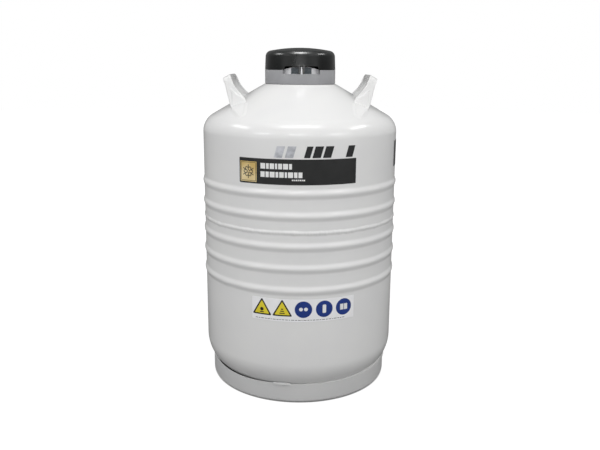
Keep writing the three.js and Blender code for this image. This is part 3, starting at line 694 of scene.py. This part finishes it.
# The foot ring, its seam and its welds take the white paint darkened with painted shade.
painted(foot(), "foot", "foot_ring", coat=RING_COAT_PAINTED_SHADE)
painted(foot_seam(), "foot_seam", coat=RING_COAT_PAINTED_SHADE)
for i, angle in enumerate(FOOT_WELDS, 1):
    painted(foot_weld(angle), f"foot_weld_{i}", f"foot_ring_weld_{i}", coat=RING_COAT_PAINTED_SHADE)


# ---- Lifting handles ----
def on_shoulder(x, y, lift=FOOT_LIFT):
    """The point above the cone at a place seen from above, lifted square off its surface."""
    return Vector((x, y, cone_z(hypot(x, y)) + lift / cos(CONE_ANGLE)))


def shoulder_normal(p):
    out = sin(CONE_ANGLE) / hypot(p.x, p.y)
    return Vector((p.x * out, p.y * out, cos(CONE_ANGLE)))


def curve(start, through, end, steps):
    """A parabola from start to end, whose ends point at the middle point."""
    ts = [i / steps for i in range(steps + 1)]
    return [start.lerp(through, t).lerp(through.lerp(end, t), t) for t in ts]


def half_handle():
    """Stations from a foot's tip to the middle of the grip.

    Each is a point, a width, a lip, how much it lies on the foot, and how far it is up the leg."""
    heel = on_shoulder(FOOT_HEEL[0], -FOOT_HEEL[1])
    corner = Vector((GRIP_END[0], -GRIP_END[1], GRIP_END[2]))
    middle = Vector((GRIP_END[0], 0, GRIP_END[2]))
    stations = []
    for i in range(13):
        t = 0.9 * i / 12
        x, y, width = (mix(a, b, t) for a, b in zip(FOOT_TIP, FOOT_HEEL))
        blunt = min(1, 0.45 + i / 3)
        stations.append((on_shoulder(x, -y), width * blunt, FOOT_LIP, 1.0, 0.0))
    before = stations[-1][0]
    for i, p in enumerate(curve(before, heel, heel.lerp(corner, 0.1), 6)[1:], 1):
        stations.append((p, FOOT_HEEL[2] - 0.4, FOOT_LIP, 1 - i / 6, 0.1 * i / 6))
    for i in range(1, 41):
        t = mix(0.1, 0.76, i / 40)
        lip = mix(FOOT_LIP, STRAP_LIP, min(1, max(0, (t - 0.12) / 0.26)))
        left = 1 - min(1, (t - 0.1) / 0.66)
        width = mix(GRIP_WIDTH, FOOT_HEEL[2], left**1.5)
        full = mix(GRIP_WIDTH, FOOT_HEEL[2], left)
        stations.append((heel.lerp(corner, t) + STRAP_ACROSS * (full - width) / 2, width, lip, 0.0, t))
    bend = curve(heel.lerp(corner, 0.76), corner, corner.lerp(middle, 0.24), 10)
    level = [bend[-1].lerp(middle, i / 8) for i in range(1, 9)]
    return stations + [(p, GRIP_WIDTH, STRAP_LIP, 0.0, 1.0) for p in bend[1:] + level]


def facet(u, t):
    """How far the triangle embossed at a leg's foot stands proud, with the ridge along its inner side.

    u runs over the leg from its outer edge to the inner one, and t up the leg."""
    up = (t - 0.04) / 0.5
    if not 0 < up < 1:
        return 0.0
    inner = 0.93 - 0.42 * up - u
    outer = u - 0.06 - 0.42 * up
    raised = 1.1 * min(1, max(0, min(inner, outer, up) / 0.08))
    ridge = 1.0 * exp(-((inner / 0.045) ** 2)) * min(1, up * 6, (1 - up) * 6)
    return raised + ridge


def strap_ring(station, along):
    point, width, lip, on_foot, t = station
    upright = STRAP_ACROSS.cross(along).normalized()
    face = upright.lerp(shoulder_normal(point), on_foot).normalized()
    across = along.cross(face).normalized()
    normal = across.cross(along).normalized()
    half = width / 2
    deep = STRAP + lip
    rim = min(3.2, 0.3 * width)
    web = [(mix(half - rim, rim - half, k / 32), 0, 0) for k in range(33)]
    one_lip = [(-half, 0, 2.6), (-half, -deep, 1.0), (STRAP - half, -deep, 1.0), (STRAP - half, -STRAP, 1.2)]
    other_lip = [(-u, v, radius) for u, v, radius in one_lip[::-1]]
    ring = []
    for u, v in rounded([*one_lip, *other_lip, *web]):
        proud = facet(0.5 - u / width, t) if v > -0.01 else 0
        ring.append(point + across * u + normal * (v + proud))
    return ring


def handle():
    half = half_handle()
    flip = [(Vector((p.x, -p.y, p.z)), *rest) for p, *rest in half[-2::-1]]
    stations = half + flip
    ways = directions([station[0] for station in stations])
    return loft("handle", [strap_ring(*both) for both in zip(stations, ways)], sharp=50)


def heel_weld(side):
    """The weld across a foot's heel, where the strap leaves the shoulder."""
    x, y, width = FOOT_HEEL
    route = []
    for i in range(33):
        p = mix(x - width / 2 + HEEL_WELD_INSET, x + width / 2 - HEEL_WELD_INSET, i / 32)
        route.append(on_shoulder(p, side * (y + 2.6), lift=FOOT_LIFT + 0.2))
    normals = [shoulder_normal(p) for p in route]
    return bead("heel_weld", route, normals, HEEL_WELD_SIZE, lumps=5)


def foot_fillet(side):
    """The painted weld round a foot's tapered end: a ridge that dies away into the shoulder."""
    (x0, y0, w0), (x1, y1, w1) = FOOT_TIP, FOOT_HEEL
    tip, heel = on_shoulder(x0, side * y0), on_shoulder(x1, side * y1)
    along = (heel - tip).normalized()
    edges = []
    for way in (1, -1):
        for i in range(21):
            t = (20 - i if way == 1 else i) / 20 * FILLET_REACH
            middle = tip.lerp(heel, t)
            across = along.cross(shoulder_normal(middle)).normalized()
            wide = mix(w0, w1, t) * min(1, 0.5 + t * 5) / 2 - 0.3
            edges.append(middle + across * way * wide)
    rings = []
    for i, (here, on) in enumerate(zip(edges, directions(edges))):
        out = on.cross(shoulder_normal(here)).normalized()
        size = min(1, 0.2 + min(i, len(edges) - 1 - i) / 4)
        ring = []
        for k in range(13):
            reach = mix(-1, 1, k / 12)
            p = here + out * reach * FILLET_HALF_WIDTH * size
            height = FILLET_HEIGHT * size * cos(pi * reach / 2) ** 2
            ring.append(on_shoulder(p.x, p.y, lift=height - FILLET_SINK))
        for p in (here + out * FILLET_HALF_WIDTH, here - out * FILLET_HALF_WIDTH):
            ring.append(on_shoulder(p.x, p.y, lift=-FILLET_DEPTH))
        rings.append(ring)
    return loft("foot_fillet", rings, sharp=60)


for name, turn in (("right", 0), ("left", pi)):
    painted(turned(handle(), turn), f"{name}_strap_handle", f"{name}_handle")
    for end, side in (("front", -1), ("rear", 1)):
        way = side if turn == 0 else -side
        painted(turned(heel_weld(way), turn), f"{name}_{end}_heel_weld")
        painted(turned(foot_fillet(way), turn), f"{name}_{end}_foot_fillet")


# ---- Collar, with the arched lock plate and the padlock fin ----
def arched(radii, half_width, low, inset=0.0):
    """Part of the round wall behind the padlock, under the arch of the lock plate."""
    xs = [half_width * (1 - i / 12) for i in range(25)]
    fall = ARCH_TOP_Z - SPIGOT_TOP_Z
    top = [(x, ARCH_TOP_Z - inset - fall * (x / ARCH_HALF_WIDTH) ** 2) for x in xs]
    inner, outer = radii
    high = ARCH_TOP_Z + 2
    ring = lathe("arch", rectangle(inner, outer, low - 1, high))
    outline = [(-half_width, low), (half_width, low), *top]
    return combine(ring, "INTERSECT", slab(outline, (-COLLAR_R, -20)))


def lock_plate():
    """The arched plate and the fin that takes a padlock, in one moulding, whose pale colour is a painted
    reflection of the lamps.
    """
    radii = (SPIGOT_R - SPIGOT_WALL + 0.1, SPIGOT_R + 0.22)
    plate = arched(radii, LOCK_HALF_WIDTH - GAP, LOCK_FLOOR_Z + 0.05)
    combine(plate, "UNION", fin())
    combine(plate, "DIFFERENCE", padlock_hole())
    return turned(soften(plate, 0.3), LOCK_TURN)


def lock_dark_painted_reflection():
    """The darker middle of the lock plate: a thin dark sheet over it, its arch a little lower, as a painted
    reflection.
    """
    dark_sheet = arched((SPIGOT_R - 1, SPIGOT_R + 0.34), LOCK_DARK_REFLECTION_HALF_WIDTH, LOCK_FLOOR_Z + 0.5, inset=0.4)
    combine(dark_sheet, "DIFFERENCE", block((-2.2, 2.2), (-COLLAR_R, -20), (LOCK_FLOOR_Z - 1, ARCH_TOP_Z + 3)))
    return turned(soften(dark_sheet, 0.1), LOCK_TURN)


def lock_recess():
    low, high = LOCK_FLOOR_Z, COLLAR_DECK_Z + 2
    ring = lathe("recess", rectangle(SPIGOT_R, COLLAR_R + 3, low, high))
    sides = (-LOCK_HALF_WIDTH, LOCK_HALF_WIDTH)
    return combine(ring, "INTERSECT", block(sides, (-2 * COLLAR_R, 0), (low - 1, high + 1)))


def fin():
    foot_half, top_half = FIN_HALF_WIDTH
    base = LOCK_FLOOR_Z - 1
    return slab([(-foot_half, base), (foot_half, base), (top_half, FIN_TOP_Z), (-top_half, FIN_TOP_Z)], FIN_Y)


def padlock_hole():
    return rod(Vector((0, *PADLOCK_HOLE)), Vector((1, 0, 0)), PADLOCK_HOLE_R, COLLAR_R)


def screw_places():
    return [around(SCREW_RING_R, angle, COLLAR_FLOOR_Z) for angle in (45, 135, 225, 315)]


def collar():
    well = SPIGOT_R - SPIGOT_WALL
    wall = [(COLLAR_R, COLLAR_BASE_Z, 0.5), (COLLAR_R, COLLAR_DECK_Z, 0.6)]
    spigot = [(SPIGOT_R, COLLAR_DECK_Z, 0.3), (SPIGOT_R, SPIGOT_TOP_Z, 0.5), (well, SPIGOT_TOP_Z, 0.5)]
    floor = [(well, COLLAR_FLOOR_Z, 1.5), (COLLAR_BORE_R, COLLAR_FLOOR_Z, 0.6)]
    profile = rounded([*wall, *spigot, *floor, (COLLAR_BORE_R, COLLAR_BASE_Z, 0.4)])
    body = combine(lathe("collar", profile), "DIFFERENCE", lock_recess())
    holes = [rod(place, Vector((0, 0, 1)), 2.4, 20) for place in screw_places()]
    combine(body, "DIFFERENCE", *holes)
    return turned(soften(body, 0.35), LOCK_TURN)


def collar_screw(place):
    """A pan-head screw with a hexagonal socket."""
    z = COLLAR_FLOOR_Z + GAP
    head = [(4, z, 0.3), (4, z + 1.9, 1.2), (2.6, z + 3, 0.6)]
    profile = rounded([(0, 596, 0), (2, 596, 0.5), (2, z, 0), *head, (0, z + 3, 0)], closed=False)
    screw = lathe("screw", profile, sides=FINE // 2, closed=False)
    socket = rod(Vector((0, 0, z + 3)), Vector((0, 0, 1)), 1.8, 3.2, sides=6)
    combine(screw, "DIFFERENCE", socket)
    screw.data.transform(Matrix.Translation(Vector((place.x, place.y, 0)) * MM))
    return turned(soften(screw, 0.12), LOCK_TURN)


piece(collar(), "collar", "vessel", "grey_plastic", GREY, "neck_collar")
# The lock plate's pale colour and its dark middle are painted reflections.
piece(lock_plate(), "lock_plate", "vessel", "grey_plastic", PALE_PAINTED_REFLECTION)
piece(lock_dark_painted_reflection(), "lock_dark_painted_reflection", "vessel", "grey_plastic", SLATE_PAINTED_REFLECTION)
for i, place in enumerate(screw_places(), 1):
    piece(collar_screw(place), f"hex_screw_{i}", "vessel", "stainless_steel", STEEL, f"collar_screw_{i}")


# ---- Neck ----
def round_tube(name, radii, low, high, edges):
    """A tube between two heights, with a rounding for each corner, from the inner low one round."""
    corners = rectangle(*radii, low, high)
    return lathe(name, rounded([(*c, edge) for c, edge in zip(corners, edges)]), sides=FINE)


def neck_liner():
    low, high = span("neck_tube")
    return round_tube("neck_liner", (25, 26.5), low.z, high.z, (0.4, 0.4, 0.5, 0.5))


def slotted_ring():
    low, high = span("index_ring")
    ring = round_tube("slotted_ring", (27.3, high.x), low.z, high.z, (0.3, 0.3, 1.2, 1.2))
    for angle in SLOT_ANGLES:
        slot = block((-SLOT_WIDTH / 2, SLOT_WIDTH / 2), (-50, -24), (SLOT_FLOOR_Z, high.z + 4))
        combine(ring, "DIFFERENCE", turned(slot, angle))
    return soften(ring, 0.3)


piece(neck_liner(), "neck_liner", "vessel", "glass_fibre", FIBRE, "neck_tube")
piece(slotted_ring(), "slotted_ring", "vessel", "bare_aluminium", ALUMINIUM, "index_ring")


# ---- Lid ----
def cap():
    edge_r = COLLAR_R - CAP_TAPER - CAP_EDGE_R
    edge = arc(edge_r, CAP_EDGE_Z, CAP_EDGE_R, 0, 75, 12)
    dome_r, dome_z = edge[-1]
    dome = [(dome_r * t / 12, CAP_TOP_Z - (CAP_TOP_Z - dome_z) * (t / 12) ** 2) for t in range(11, -1, -1)]
    inside = COLLAR_R - CAP_WALL
    skirt_z = COLLAR_DECK_Z + GAP
    ceiling = [(0, CAP_CEILING_Z, 0), (inside, CAP_CEILING_Z, 5)]
    rim = [(inside, skirt_z, 0.5), (COLLAR_R, skirt_z, 0.5)]
    skirt = rounded([*ceiling, *rim, (*edge[0], 0)], closed=False)
    body = lathe("cap", skirt + edge[1:] + dome, closed=False)
    foot_half, top_half = LOCK_CUT_HALF_WIDTH
    left = [(-top_half, LOCK_CUT_Z), (-foot_half, COLLAR_DECK_Z), (-foot_half, LOCK_FLOOR_Z)]
    outline = left + [(-x, h) for x, h in left[::-1]]
    combine(body, "DIFFERENCE", slab(outline, (-2 * COLLAR_R, -20)))
    ear_z = (LOCK_FLOOR_Z + GAP, LOCK_CUT_Z + 4)
    ears = [block(EAR_X, EAR_Y, ear_z), block((-EAR_X[1], -EAR_X[0]), EAR_Y, ear_z)]
    combine(body, "UNION", *ears)
    combine(body, "DIFFERENCE", padlock_hole())
    return turned(soften(body, 0.35), LOCK_TURN)


def bored_disc(node, edge):
    """A round piece with softened edges and a hole for the stud."""
    low, high = span(node)
    return round_tube(node, (STUD_R + GAP, round(high.x, 1)), low.z, high.z, (0, edge, edge, 0))


def foam_plug():
    """The foam plug, with shallow grooves down it and a tapered foot."""
    low, high = span("neck_plug")
    hole, radius = STUD_R + GAP, 20.5
    steps = [radius - 1.6 * (1 - i / 4) ** 2 for i in range(5)]
    foot_taper = [(r, low.z + 1.5 * i) for i, r in enumerate(steps)]
    wall = [(radius, mix(low.z + 8, high.z, i / 30)) for i in range(31)]

    def grooved(a, r, z):
        inside = max(0, cos(6 * a)) ** 24
        return (r - 0.9 * inside if r > 15 else r), z

    profile = [(0, low.z), *foot_taper, *wall, (hole, high.z), (hole, 560), (0, 560)]
    return lathe("foam_plug", profile, sides=FINE * 2, closed=False, shift=grooved)


piece(cap(), "cap", "lid", "black_plastic", BLACK, "lid_cap")
piece(bored_disc("lid_insulation_pad", 2), "foam_pad", "lid", "foam", FOAM, "lid_insulation_pad")
piece(bored_disc("plug_flange", 0.8), "flange", "lid", "grey_plastic", GREY, "plug_flange")
piece(foam_plug(), "foam_plug", "lid", "foam", FOAM, "neck_plug")


# ---- Canisters and their rods ----
def canister_cup(angle):
    low, high = span("canister_1")
    r, wall = CANISTER_R, 1
    rim = [(r, low.z, 1.5), (r, high.z, 0.4), (r - wall, high.z, 0.4), (r - wall, low.z + wall, 1)]
    profile = rounded([(0, low.z, 0), *rim, (0, low.z + wall, 0)], closed=False)
    cup = lathe("cup", profile, sides=48, closed=False)
    cup.data.transform(Matrix.Translation((0, -CANISTER_RING_R * MM, 0)))
    return turned(cup, angle)


def canister_rod(angle):
    """The rod from a canister's side, up through the neck, and out over the index ring."""
    beside = CANISTER_RING_R - CANISTER_R - ROD_R - 1.5 * GAP
    hook_z = SLOT_FLOOR_Z + ROD_R + GAP
    bend = arc(27.3, hook_z - 4, 4, 180, 90, 8)
    straight = [(beside, 150), (beside, 228), (beside - 0.7, 240), (23.9, 360), (23.3, 372)]
    route = [*straight, *bend, (43.3, hook_z)]
    rings = []
    for i, (r, z) in enumerate(route):
        r0, z0 = route[max(i - 1, 0)]
        r1, z1 = route[min(i + 1, len(route) - 1)]
        out = Vector((0, -(z1 - z0), -(r1 - r0))).normalized()
        circle = [out * cos(a) + Vector((1, 0, 0)) * sin(a) for a in turns(12)]
        rings.append([Vector((0, -r, z)) + p * ROD_R for p in circle])
    return turned(loft("rod", rings, sharp=60), angle)


for i, angle in enumerate(SLOT_ANGLES, 1):
    name = f"canister_{i}"
    piece(canister_cup(angle), f"{name}_cup", name, "bare_aluminium", ALUMINIUM, name)
    piece(canister_rod(angle), f"{name}_hook_rod", name, "stainless_steel", STEEL, f"{name}_rod")


# ---- Labels ----
LABEL_R = BARREL_R + 0.12
LABEL_THICKNESS = 0.22
PRINT_R = LABEL_R + LABEL_THICKNESS + 0.02


def wrapped(name, outlines, radius, thickness):
    """Flat outlines, as (distance round the barrel, height), thickened and bent round it."""
    bm = bmesh.new()
    for outline in outlines:
        bm.faces.new([bm.verts.new((u, z, 0)) for u, z in outline])
    us = [v.co.x for v in bm.verts]
    for k in range(ceil(min(us) / 4), ceil(max(us) / 4)):
        geometry = bm.verts[:] + bm.edges[:] + bm.faces[:]
        bmesh.ops.bisect_plane(bm, geom=geometry, plane_co=(k * 4, 0, 0), plane_no=(1, 0, 0))
    top = bmesh.ops.extrude_face_region(bm, geom=bm.faces[:])["geom"]
    for v in (g for g in top if isinstance(g, bmesh.types.BMVert)):
        v.co.z = thickness
    for v in bm.verts:
        u, z, out = v.co
        a = u / BARREL_R
        v.co = ((radius + out) * sin(a), -(radius + out) * cos(a), z)
    return made(name, bm, 30)


def arc_to(angle):
    """The distance round the barrel from the front to an angle in degrees."""
    return radians(angle) * BARREL_R


def centred(u, half, z0, z1):
    return rectangle(u - half, u + half, z0, z1)


def soft_rectangle(u0, u1, z0, z1, radius):
    return rounded([(*corner, radius) for corner in rectangle(u0, u1, z0, z1)])


def disc(u, z, radius, sides=40):
    return [(u + radius * cos(a), z + radius * sin(a)) for a in turns(sides)]


def triangle(u, z, side, corner):
    height = side * sqrt(3) / 2
    low = z - height / 3
    return rounded([(u - side / 2, low, corner), (u + side / 2, low, corner), (u, low + height, corner)])


def frame_strips(u0, u1, z0, z1, width):
    return [
        rectangle(u0, u1, z0, z0 + width),
        rectangle(u0, u1, z1 - width, z1),
        rectangle(u0, u0 + width, z0 + width, z1 - width),
        rectangle(u1 - width, u1, z0 + width, z1 - width),
    ]


def snowflake(u, z, reach, width):
    """Six arms, each with a pair of barbs, as separate bars about a small hub."""
    arms = []
    for i in range(6):
        a = radians(60 * i + 90)
        along, across = Vector((cos(a), sin(a))), Vector((-sin(a), cos(a)))
        lines = [(Vector((0, 0)) + along * width * 1.2, along * reach)]
        for way in (-1, 1):
            root = along * reach * 0.55 + across * way * width * 0.7
            lines.append((root, root + (along * 0.5 + across * way * 0.87) * reach * 0.3))
        for start, end in lines:
            side = (end - start).normalized().orthogonal() * width / 2
            corners = (start - side, end - side, end + side, start + side)
            arms.append([(u + p.x, z + p.y) for p in corners])
    return arms


def bars(u, z0, z1, widths, gap, slant=0):
    """A row of bars of the given widths, upright or leaning to the right."""
    row = []
    for width in widths:
        row.append([(u, z0), (u + width, z0), (u + width + slant, z1), (u + slant, z1)])
        u += width + gap
    return row


def label(name, angles, z, material, slot, node):
    outline = soft_rectangle(arc_to(angles[0]), arc_to(angles[1]), *z, 1.5)
    piece(wrapped(name, [outline], LABEL_R, LABEL_THICKNESS), name, "vessel", slot, material, node)


def prints(name, outlines, material, slot="white_label", layer=0, base=PRINT_R):
    """Printed marks on a label, or straight on the paint; a higher layer lies over a lower one."""
    obj = wrapped(name, outlines, base + 0.09 * layer, 0.07)
    piece(obj, name, "vessel", slot, material)


def front_label():
    """The black label with its gold square, snowflake and bars, and the slanted bars above it."""
    label("front_label_film", (-34.0, 31.6), (430, 476), LABEL_BLACK, "black_label", "front_label")
    u0, u1 = arc_to(-33.3), arc_to(-23.3)
    z0, z1 = 432.9, 469.5
    prints("front_label_gold", [rectangle(u0, u1, z0, z1)], GOLD, "black_label")
    margin = 1.5
    marks = frame_strips(u0 + margin, u1 - margin, z0 + margin, z1 - margin, 0.7)
    marks += snowflake((u0 + u1) / 2, (z0 + z1) / 2, 12.5, 1.5)
    prints("front_label_snowflake", marks, PRINT_BLACK, "black_label", 1)
    words = bars(arc_to(-21), 458, 468, [9, 5, 8, 4, 7, 9, 5], 1.8)
    words += bars(arc_to(-21), 443, 453, [8, 6, 9, 5, 8, 4, 9, 6, 7], 1.8)
    words += bars(arc_to(-4), 437.5, 440, [3, 2, 3, 2, 3, 2, 3], 0.9)
    prints("front_label_bars", words, PRINT_WHITE, "black_label")
    low, high, slant = 478.5, 499, 6
    code = bars(arc_to(-13.7), low, high, [15, 15], 5, slant)
    prints("front_bars_silver", code, PRINT_SILVER, base=BARREL_R + 0.1)
    code = bars(arc_to(2.2), low, high, [11, 15, 15], 4, slant)
    code += bars(arc_to(25), low, high, [14], 4, slant)
    prints("front_bars_black", code, PRINT_BLACK, "black_label", base=BARREL_R + 0.1)


def side_label():
    label("side_label_film", (71, 137), (446, 496), LABEL_BLACK, "black_label", "side_label")
    words = bars(arc_to(78), 462, 480, [12, 6, 10, 5, 14, 7, 9], 3)
    prints("side_label_bars", words, PRINT_WHITE, "black_label")


def safety_label():
    """The white label: triangles and discs with simple marks, over a dashed line."""
    label("safety_label_film", (-26.7, 32.3), (172, 215.5), LABEL_WHITE, "white_label", "safety_label")
    first, second = places = [arc_to(a) for a in (-20.7, -9.1)]
    edges = [triangle(u, 193.2, 38.5, 2) for u in places]
    prints("safety_triangle_edges", edges, PRINT_BLACK)
    faces = [triangle(u, 193.2, 29.5, 1.2) for u in places]
    prints("safety_triangles", faces, PRINT_YELLOW, layer=1)
    marks = [disc(first, 193, 3.4), centred(first, 4, 186.4, 188.2)]
    marks += [centred(second, half, z, z + 2) for half, z in ((5, 187), (3.5, 191), (2, 195))]
    prints("safety_triangle_marks", marks, PRINT_BLACK, layer=2)
    first, second, third = places = [arc_to(a) for a in (2.6, 14.2, 25.7)]
    prints("safety_discs", [disc(u, 196, 16.2, 64) for u in places], PRINT_BLUE)
    marks = [disc(first + way * 4.6, 196.5, 3.6) for way in (-1, 1)]
    marks += [soft_rectangle(second - 3.4, second + 3.4, 188, 204.5, 2.2)]
    marks += [rectangle(third + a, third + b, 190.5, 202) for a, b in ((-7.5, -0.6), (0.6, 7.5))]
    prints("safety_disc_marks", marks, PRINT_WHITE, layer=1)
    dashes = bars(arc_to(-24.5), 174.6, 175.6, [5, 3, 6, 4, 5, 2, 6, 4, 3, 5] * 3, 1.5)
    prints("safety_dashes", dashes, PRINT_BLACK)


front_label()
side_label()
safety_label()


# ---- Inside and under the vessel ----
def crinkled(a, r, z):
    here = Vector((r * cos(a), r * sin(a), z)) * 0.03
    return r + 0.5 * noise.noise(here), z + 0.4 * noise.noise(here + Vector((9, 9, 9)))


def wrap_profile():
    """The blanket's section, with a pocket under the inner vessel."""
    low, high = span("insulation_blanket")
    outer = high.x
    inner = outer - 12

    def face(radius, depth, low_pole, high_pole, low_from, top_to):
        bottom = [radians(mix(low_from, 90, i / 10)) for i in range(11)]
        top = [radians(mix(90, top_to, i / 10)) for i in range(11)]
        down = [(radius * sin(a), low_pole + depth * (1 - cos(a))) for a in bottom]
        middle = [(radius, mix(low_pole + depth, high_pole - depth, i / 12)) for i in range(1, 12)]
        up = [(radius * sin(a), high_pole - depth * (1 - cos(a))) for a in top]
        return down + middle + up

    outside = face(outer, 63.5, 61.5, high.z - 0.5, 46.7, 10.6)
    inside = face(inner, 51.5, 73.5, high.z - 12.5, 38, 11.5)
    return [(22, low.z + 0.6), (92, 60.5), *outside, *inside[::-1], (92, 71.5), (22, 62.3)]


wrap = lathe("wrap", wrap_profile(), shift=crinkled)
piece(wrap, "foil_blanket", "vessel", "foil_wrap", FOIL, "insulation_blanket")

CARRIED_OVER = [
    (ALUMINIUM, ["inner_vessel_lower", "inner_vessel_upper", "canister_spider", "evacuation_port"]),
    (FOIL, ["molecular_sieve_pack"]),
    (WHITE, ["neck_plate"]),
    (FIBRE, ["support_post", "support_cup"]),
    (STEEL, ["evacuation_plug", "plug_stud"]),
]
for material, nodes in CARRIED_OVER:
    for node in nodes:
        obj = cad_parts[node]
        obj.data.materials.clear()
        obj.data.materials.append(material)
        soften(obj, 0.3)


def port_cap():
    low, high = span("evacuation_port_cap")
    outer, inner = 12.5, 10.5
    rim = [(outer, low.z, 1.8), (outer, high.z, 0.6), (inner, high.z, 0.4), (inner, low.z + 3, 0.8)]
    profile = rounded([(0, low.z, 0), *rim, (0, low.z + 3, 0)], closed=False)

    def knurl(a, r, z):
        return (r - 0.35 * max(0, cos(24 * a)) if r > 12.2 else r), z

    return lathe("port_cap", profile, sides=FINE * 2, closed=False, shift=knurl)


piece(port_cap(), "port_cap", "vessel", "black_plastic", BLACK, "evacuation_port_cap")


# ---- Floor, light and camera ----
def floor():
    bm = bmesh.new()
    bmesh.ops.create_circle(bm, cap_ends=True, segments=96, radius=9000)
    obj = made("floor", bm)
    obj.data.materials.append(pale_floor())


def soft_light(name, place, size, power, target=(0, 0, 0.35)):
    """An area light that faces the target."""
    data = bpy.data.lights.new(name, "AREA")
    data.shape = "RECTANGLE"
    data.size, data.size_y = size
    data.energy = power
    lamp = bpy.data.objects.new(name, data)
    lamp.location = place
    lamp.rotation_euler = (Vector(target) - Vector(place)).to_track_quat("-Z", "Y").to_euler()
    bpy.context.scene.collection.objects.link(lamp)
    return lamp


def white_room():
    """Soft light from all round but behind, and plain white where the camera sees past the floor."""
    world = bpy.data.worlds.new("room")
    bpy.context.scene.world = world
    world.use_nodes = True
    room = Nodes(world.node_tree)
    soft = room.tree.nodes["Background"]
    soft.inputs["Color"].default_value = (1, 1, 1, 1)
    toward = room.node("ShaderNodeSeparateXYZ")
    room.link(room.node("ShaderNodeTexCoord").outputs["Generated"], toward.inputs[0])
    dimmed = room.ranged(toward.outputs["Y"], ROOM_BEHIND, (ROOM_LIGHT, ROOM_LIGHT_BEHIND))
    room.link(dimmed, soft.inputs["Strength"])
    seen = room.node("ShaderNodeBackground", Color=(1, 1, 1, 1))
    room.shown_to_camera(seen, soft, "World Output")


def camera():
    data = bpy.data.cameras.new("camera")
    data.lens = 39.57
    data.sensor_width = 36
    data.shift_x, data.shift_y = 0.0012, -0.0167
    data.clip_end = 60
    eye = bpy.data.objects.new("camera", data)
    place = Matrix.Translation((0, -1.3485, 0.6363))
    pitch = Matrix.Rotation(radians(90 - 12.71), 4, "X")
    roll = Matrix.Rotation(radians(0.358), 4, "Z")
    eye.matrix_world = place @ pitch @ roll
    bpy.context.scene.collection.objects.link(eye)
    bpy.context.scene.camera = eye


def room_lights():
    """Two rows of ceiling lamps, a strip on each side, and a broad dim panel behind the camera."""
    for x, y in ((-2.56, -0.15), (0, -0.93), (2.47, -0.18)):
        soft_light("ceiling_near", (x, y, 2.6), (1.4, 0.5), 14.5)
    for x, y in ((-2.72, -2.75), (-0.1, -3.53), (2.78, -2.96)):
        soft_light("ceiling_far", (x, y, 2.15), (1.2, 0.2), 11.5)
    for side in (-1, 1):
        soft_light("side_strip", (side * 2.35, -2.0, 1.2), (1.2, 1.8), 6.3)
    soft_light("front_panel", (0, -4.4, 1.6), (7, 2.4), 32, target=(0, 0, 1.3))


def cap_lights():
    """Lamps that light only the black cap: its highlights would burn the white paint out."""
    cap_only = bpy.data.collections.new("cap_only")
    cap_only.objects.link(bpy.data.objects["cap"])
    middle = (0, 0, 0.64)
    lamps = [soft_light("cap_highlight", (0, -0.93, 2.6), (0.6, 0.35), 450)]
    lamps.append(soft_light("cap_face", (0, -3.2, 0.25), (1.6, 0.5), 66, target=middle))
    for side in (-1, 1):
        lamps.append(soft_light("cap_side", (side * 2.3, -2.2, 0.3), (1.2, 0.6), 5, target=middle))
        lamps.append(soft_light("cap_side_highlight", (side * 2.6, -0.4, 2.4), (1, 0.6), 62))
    for lamp in lamps:
        lamp.light_linking.receiver_collection = cap_only


floor()
white_room()
room_lights()
cap_lights()
camera()
bpy.context.scene.view_settings.view_transform = "Standard"
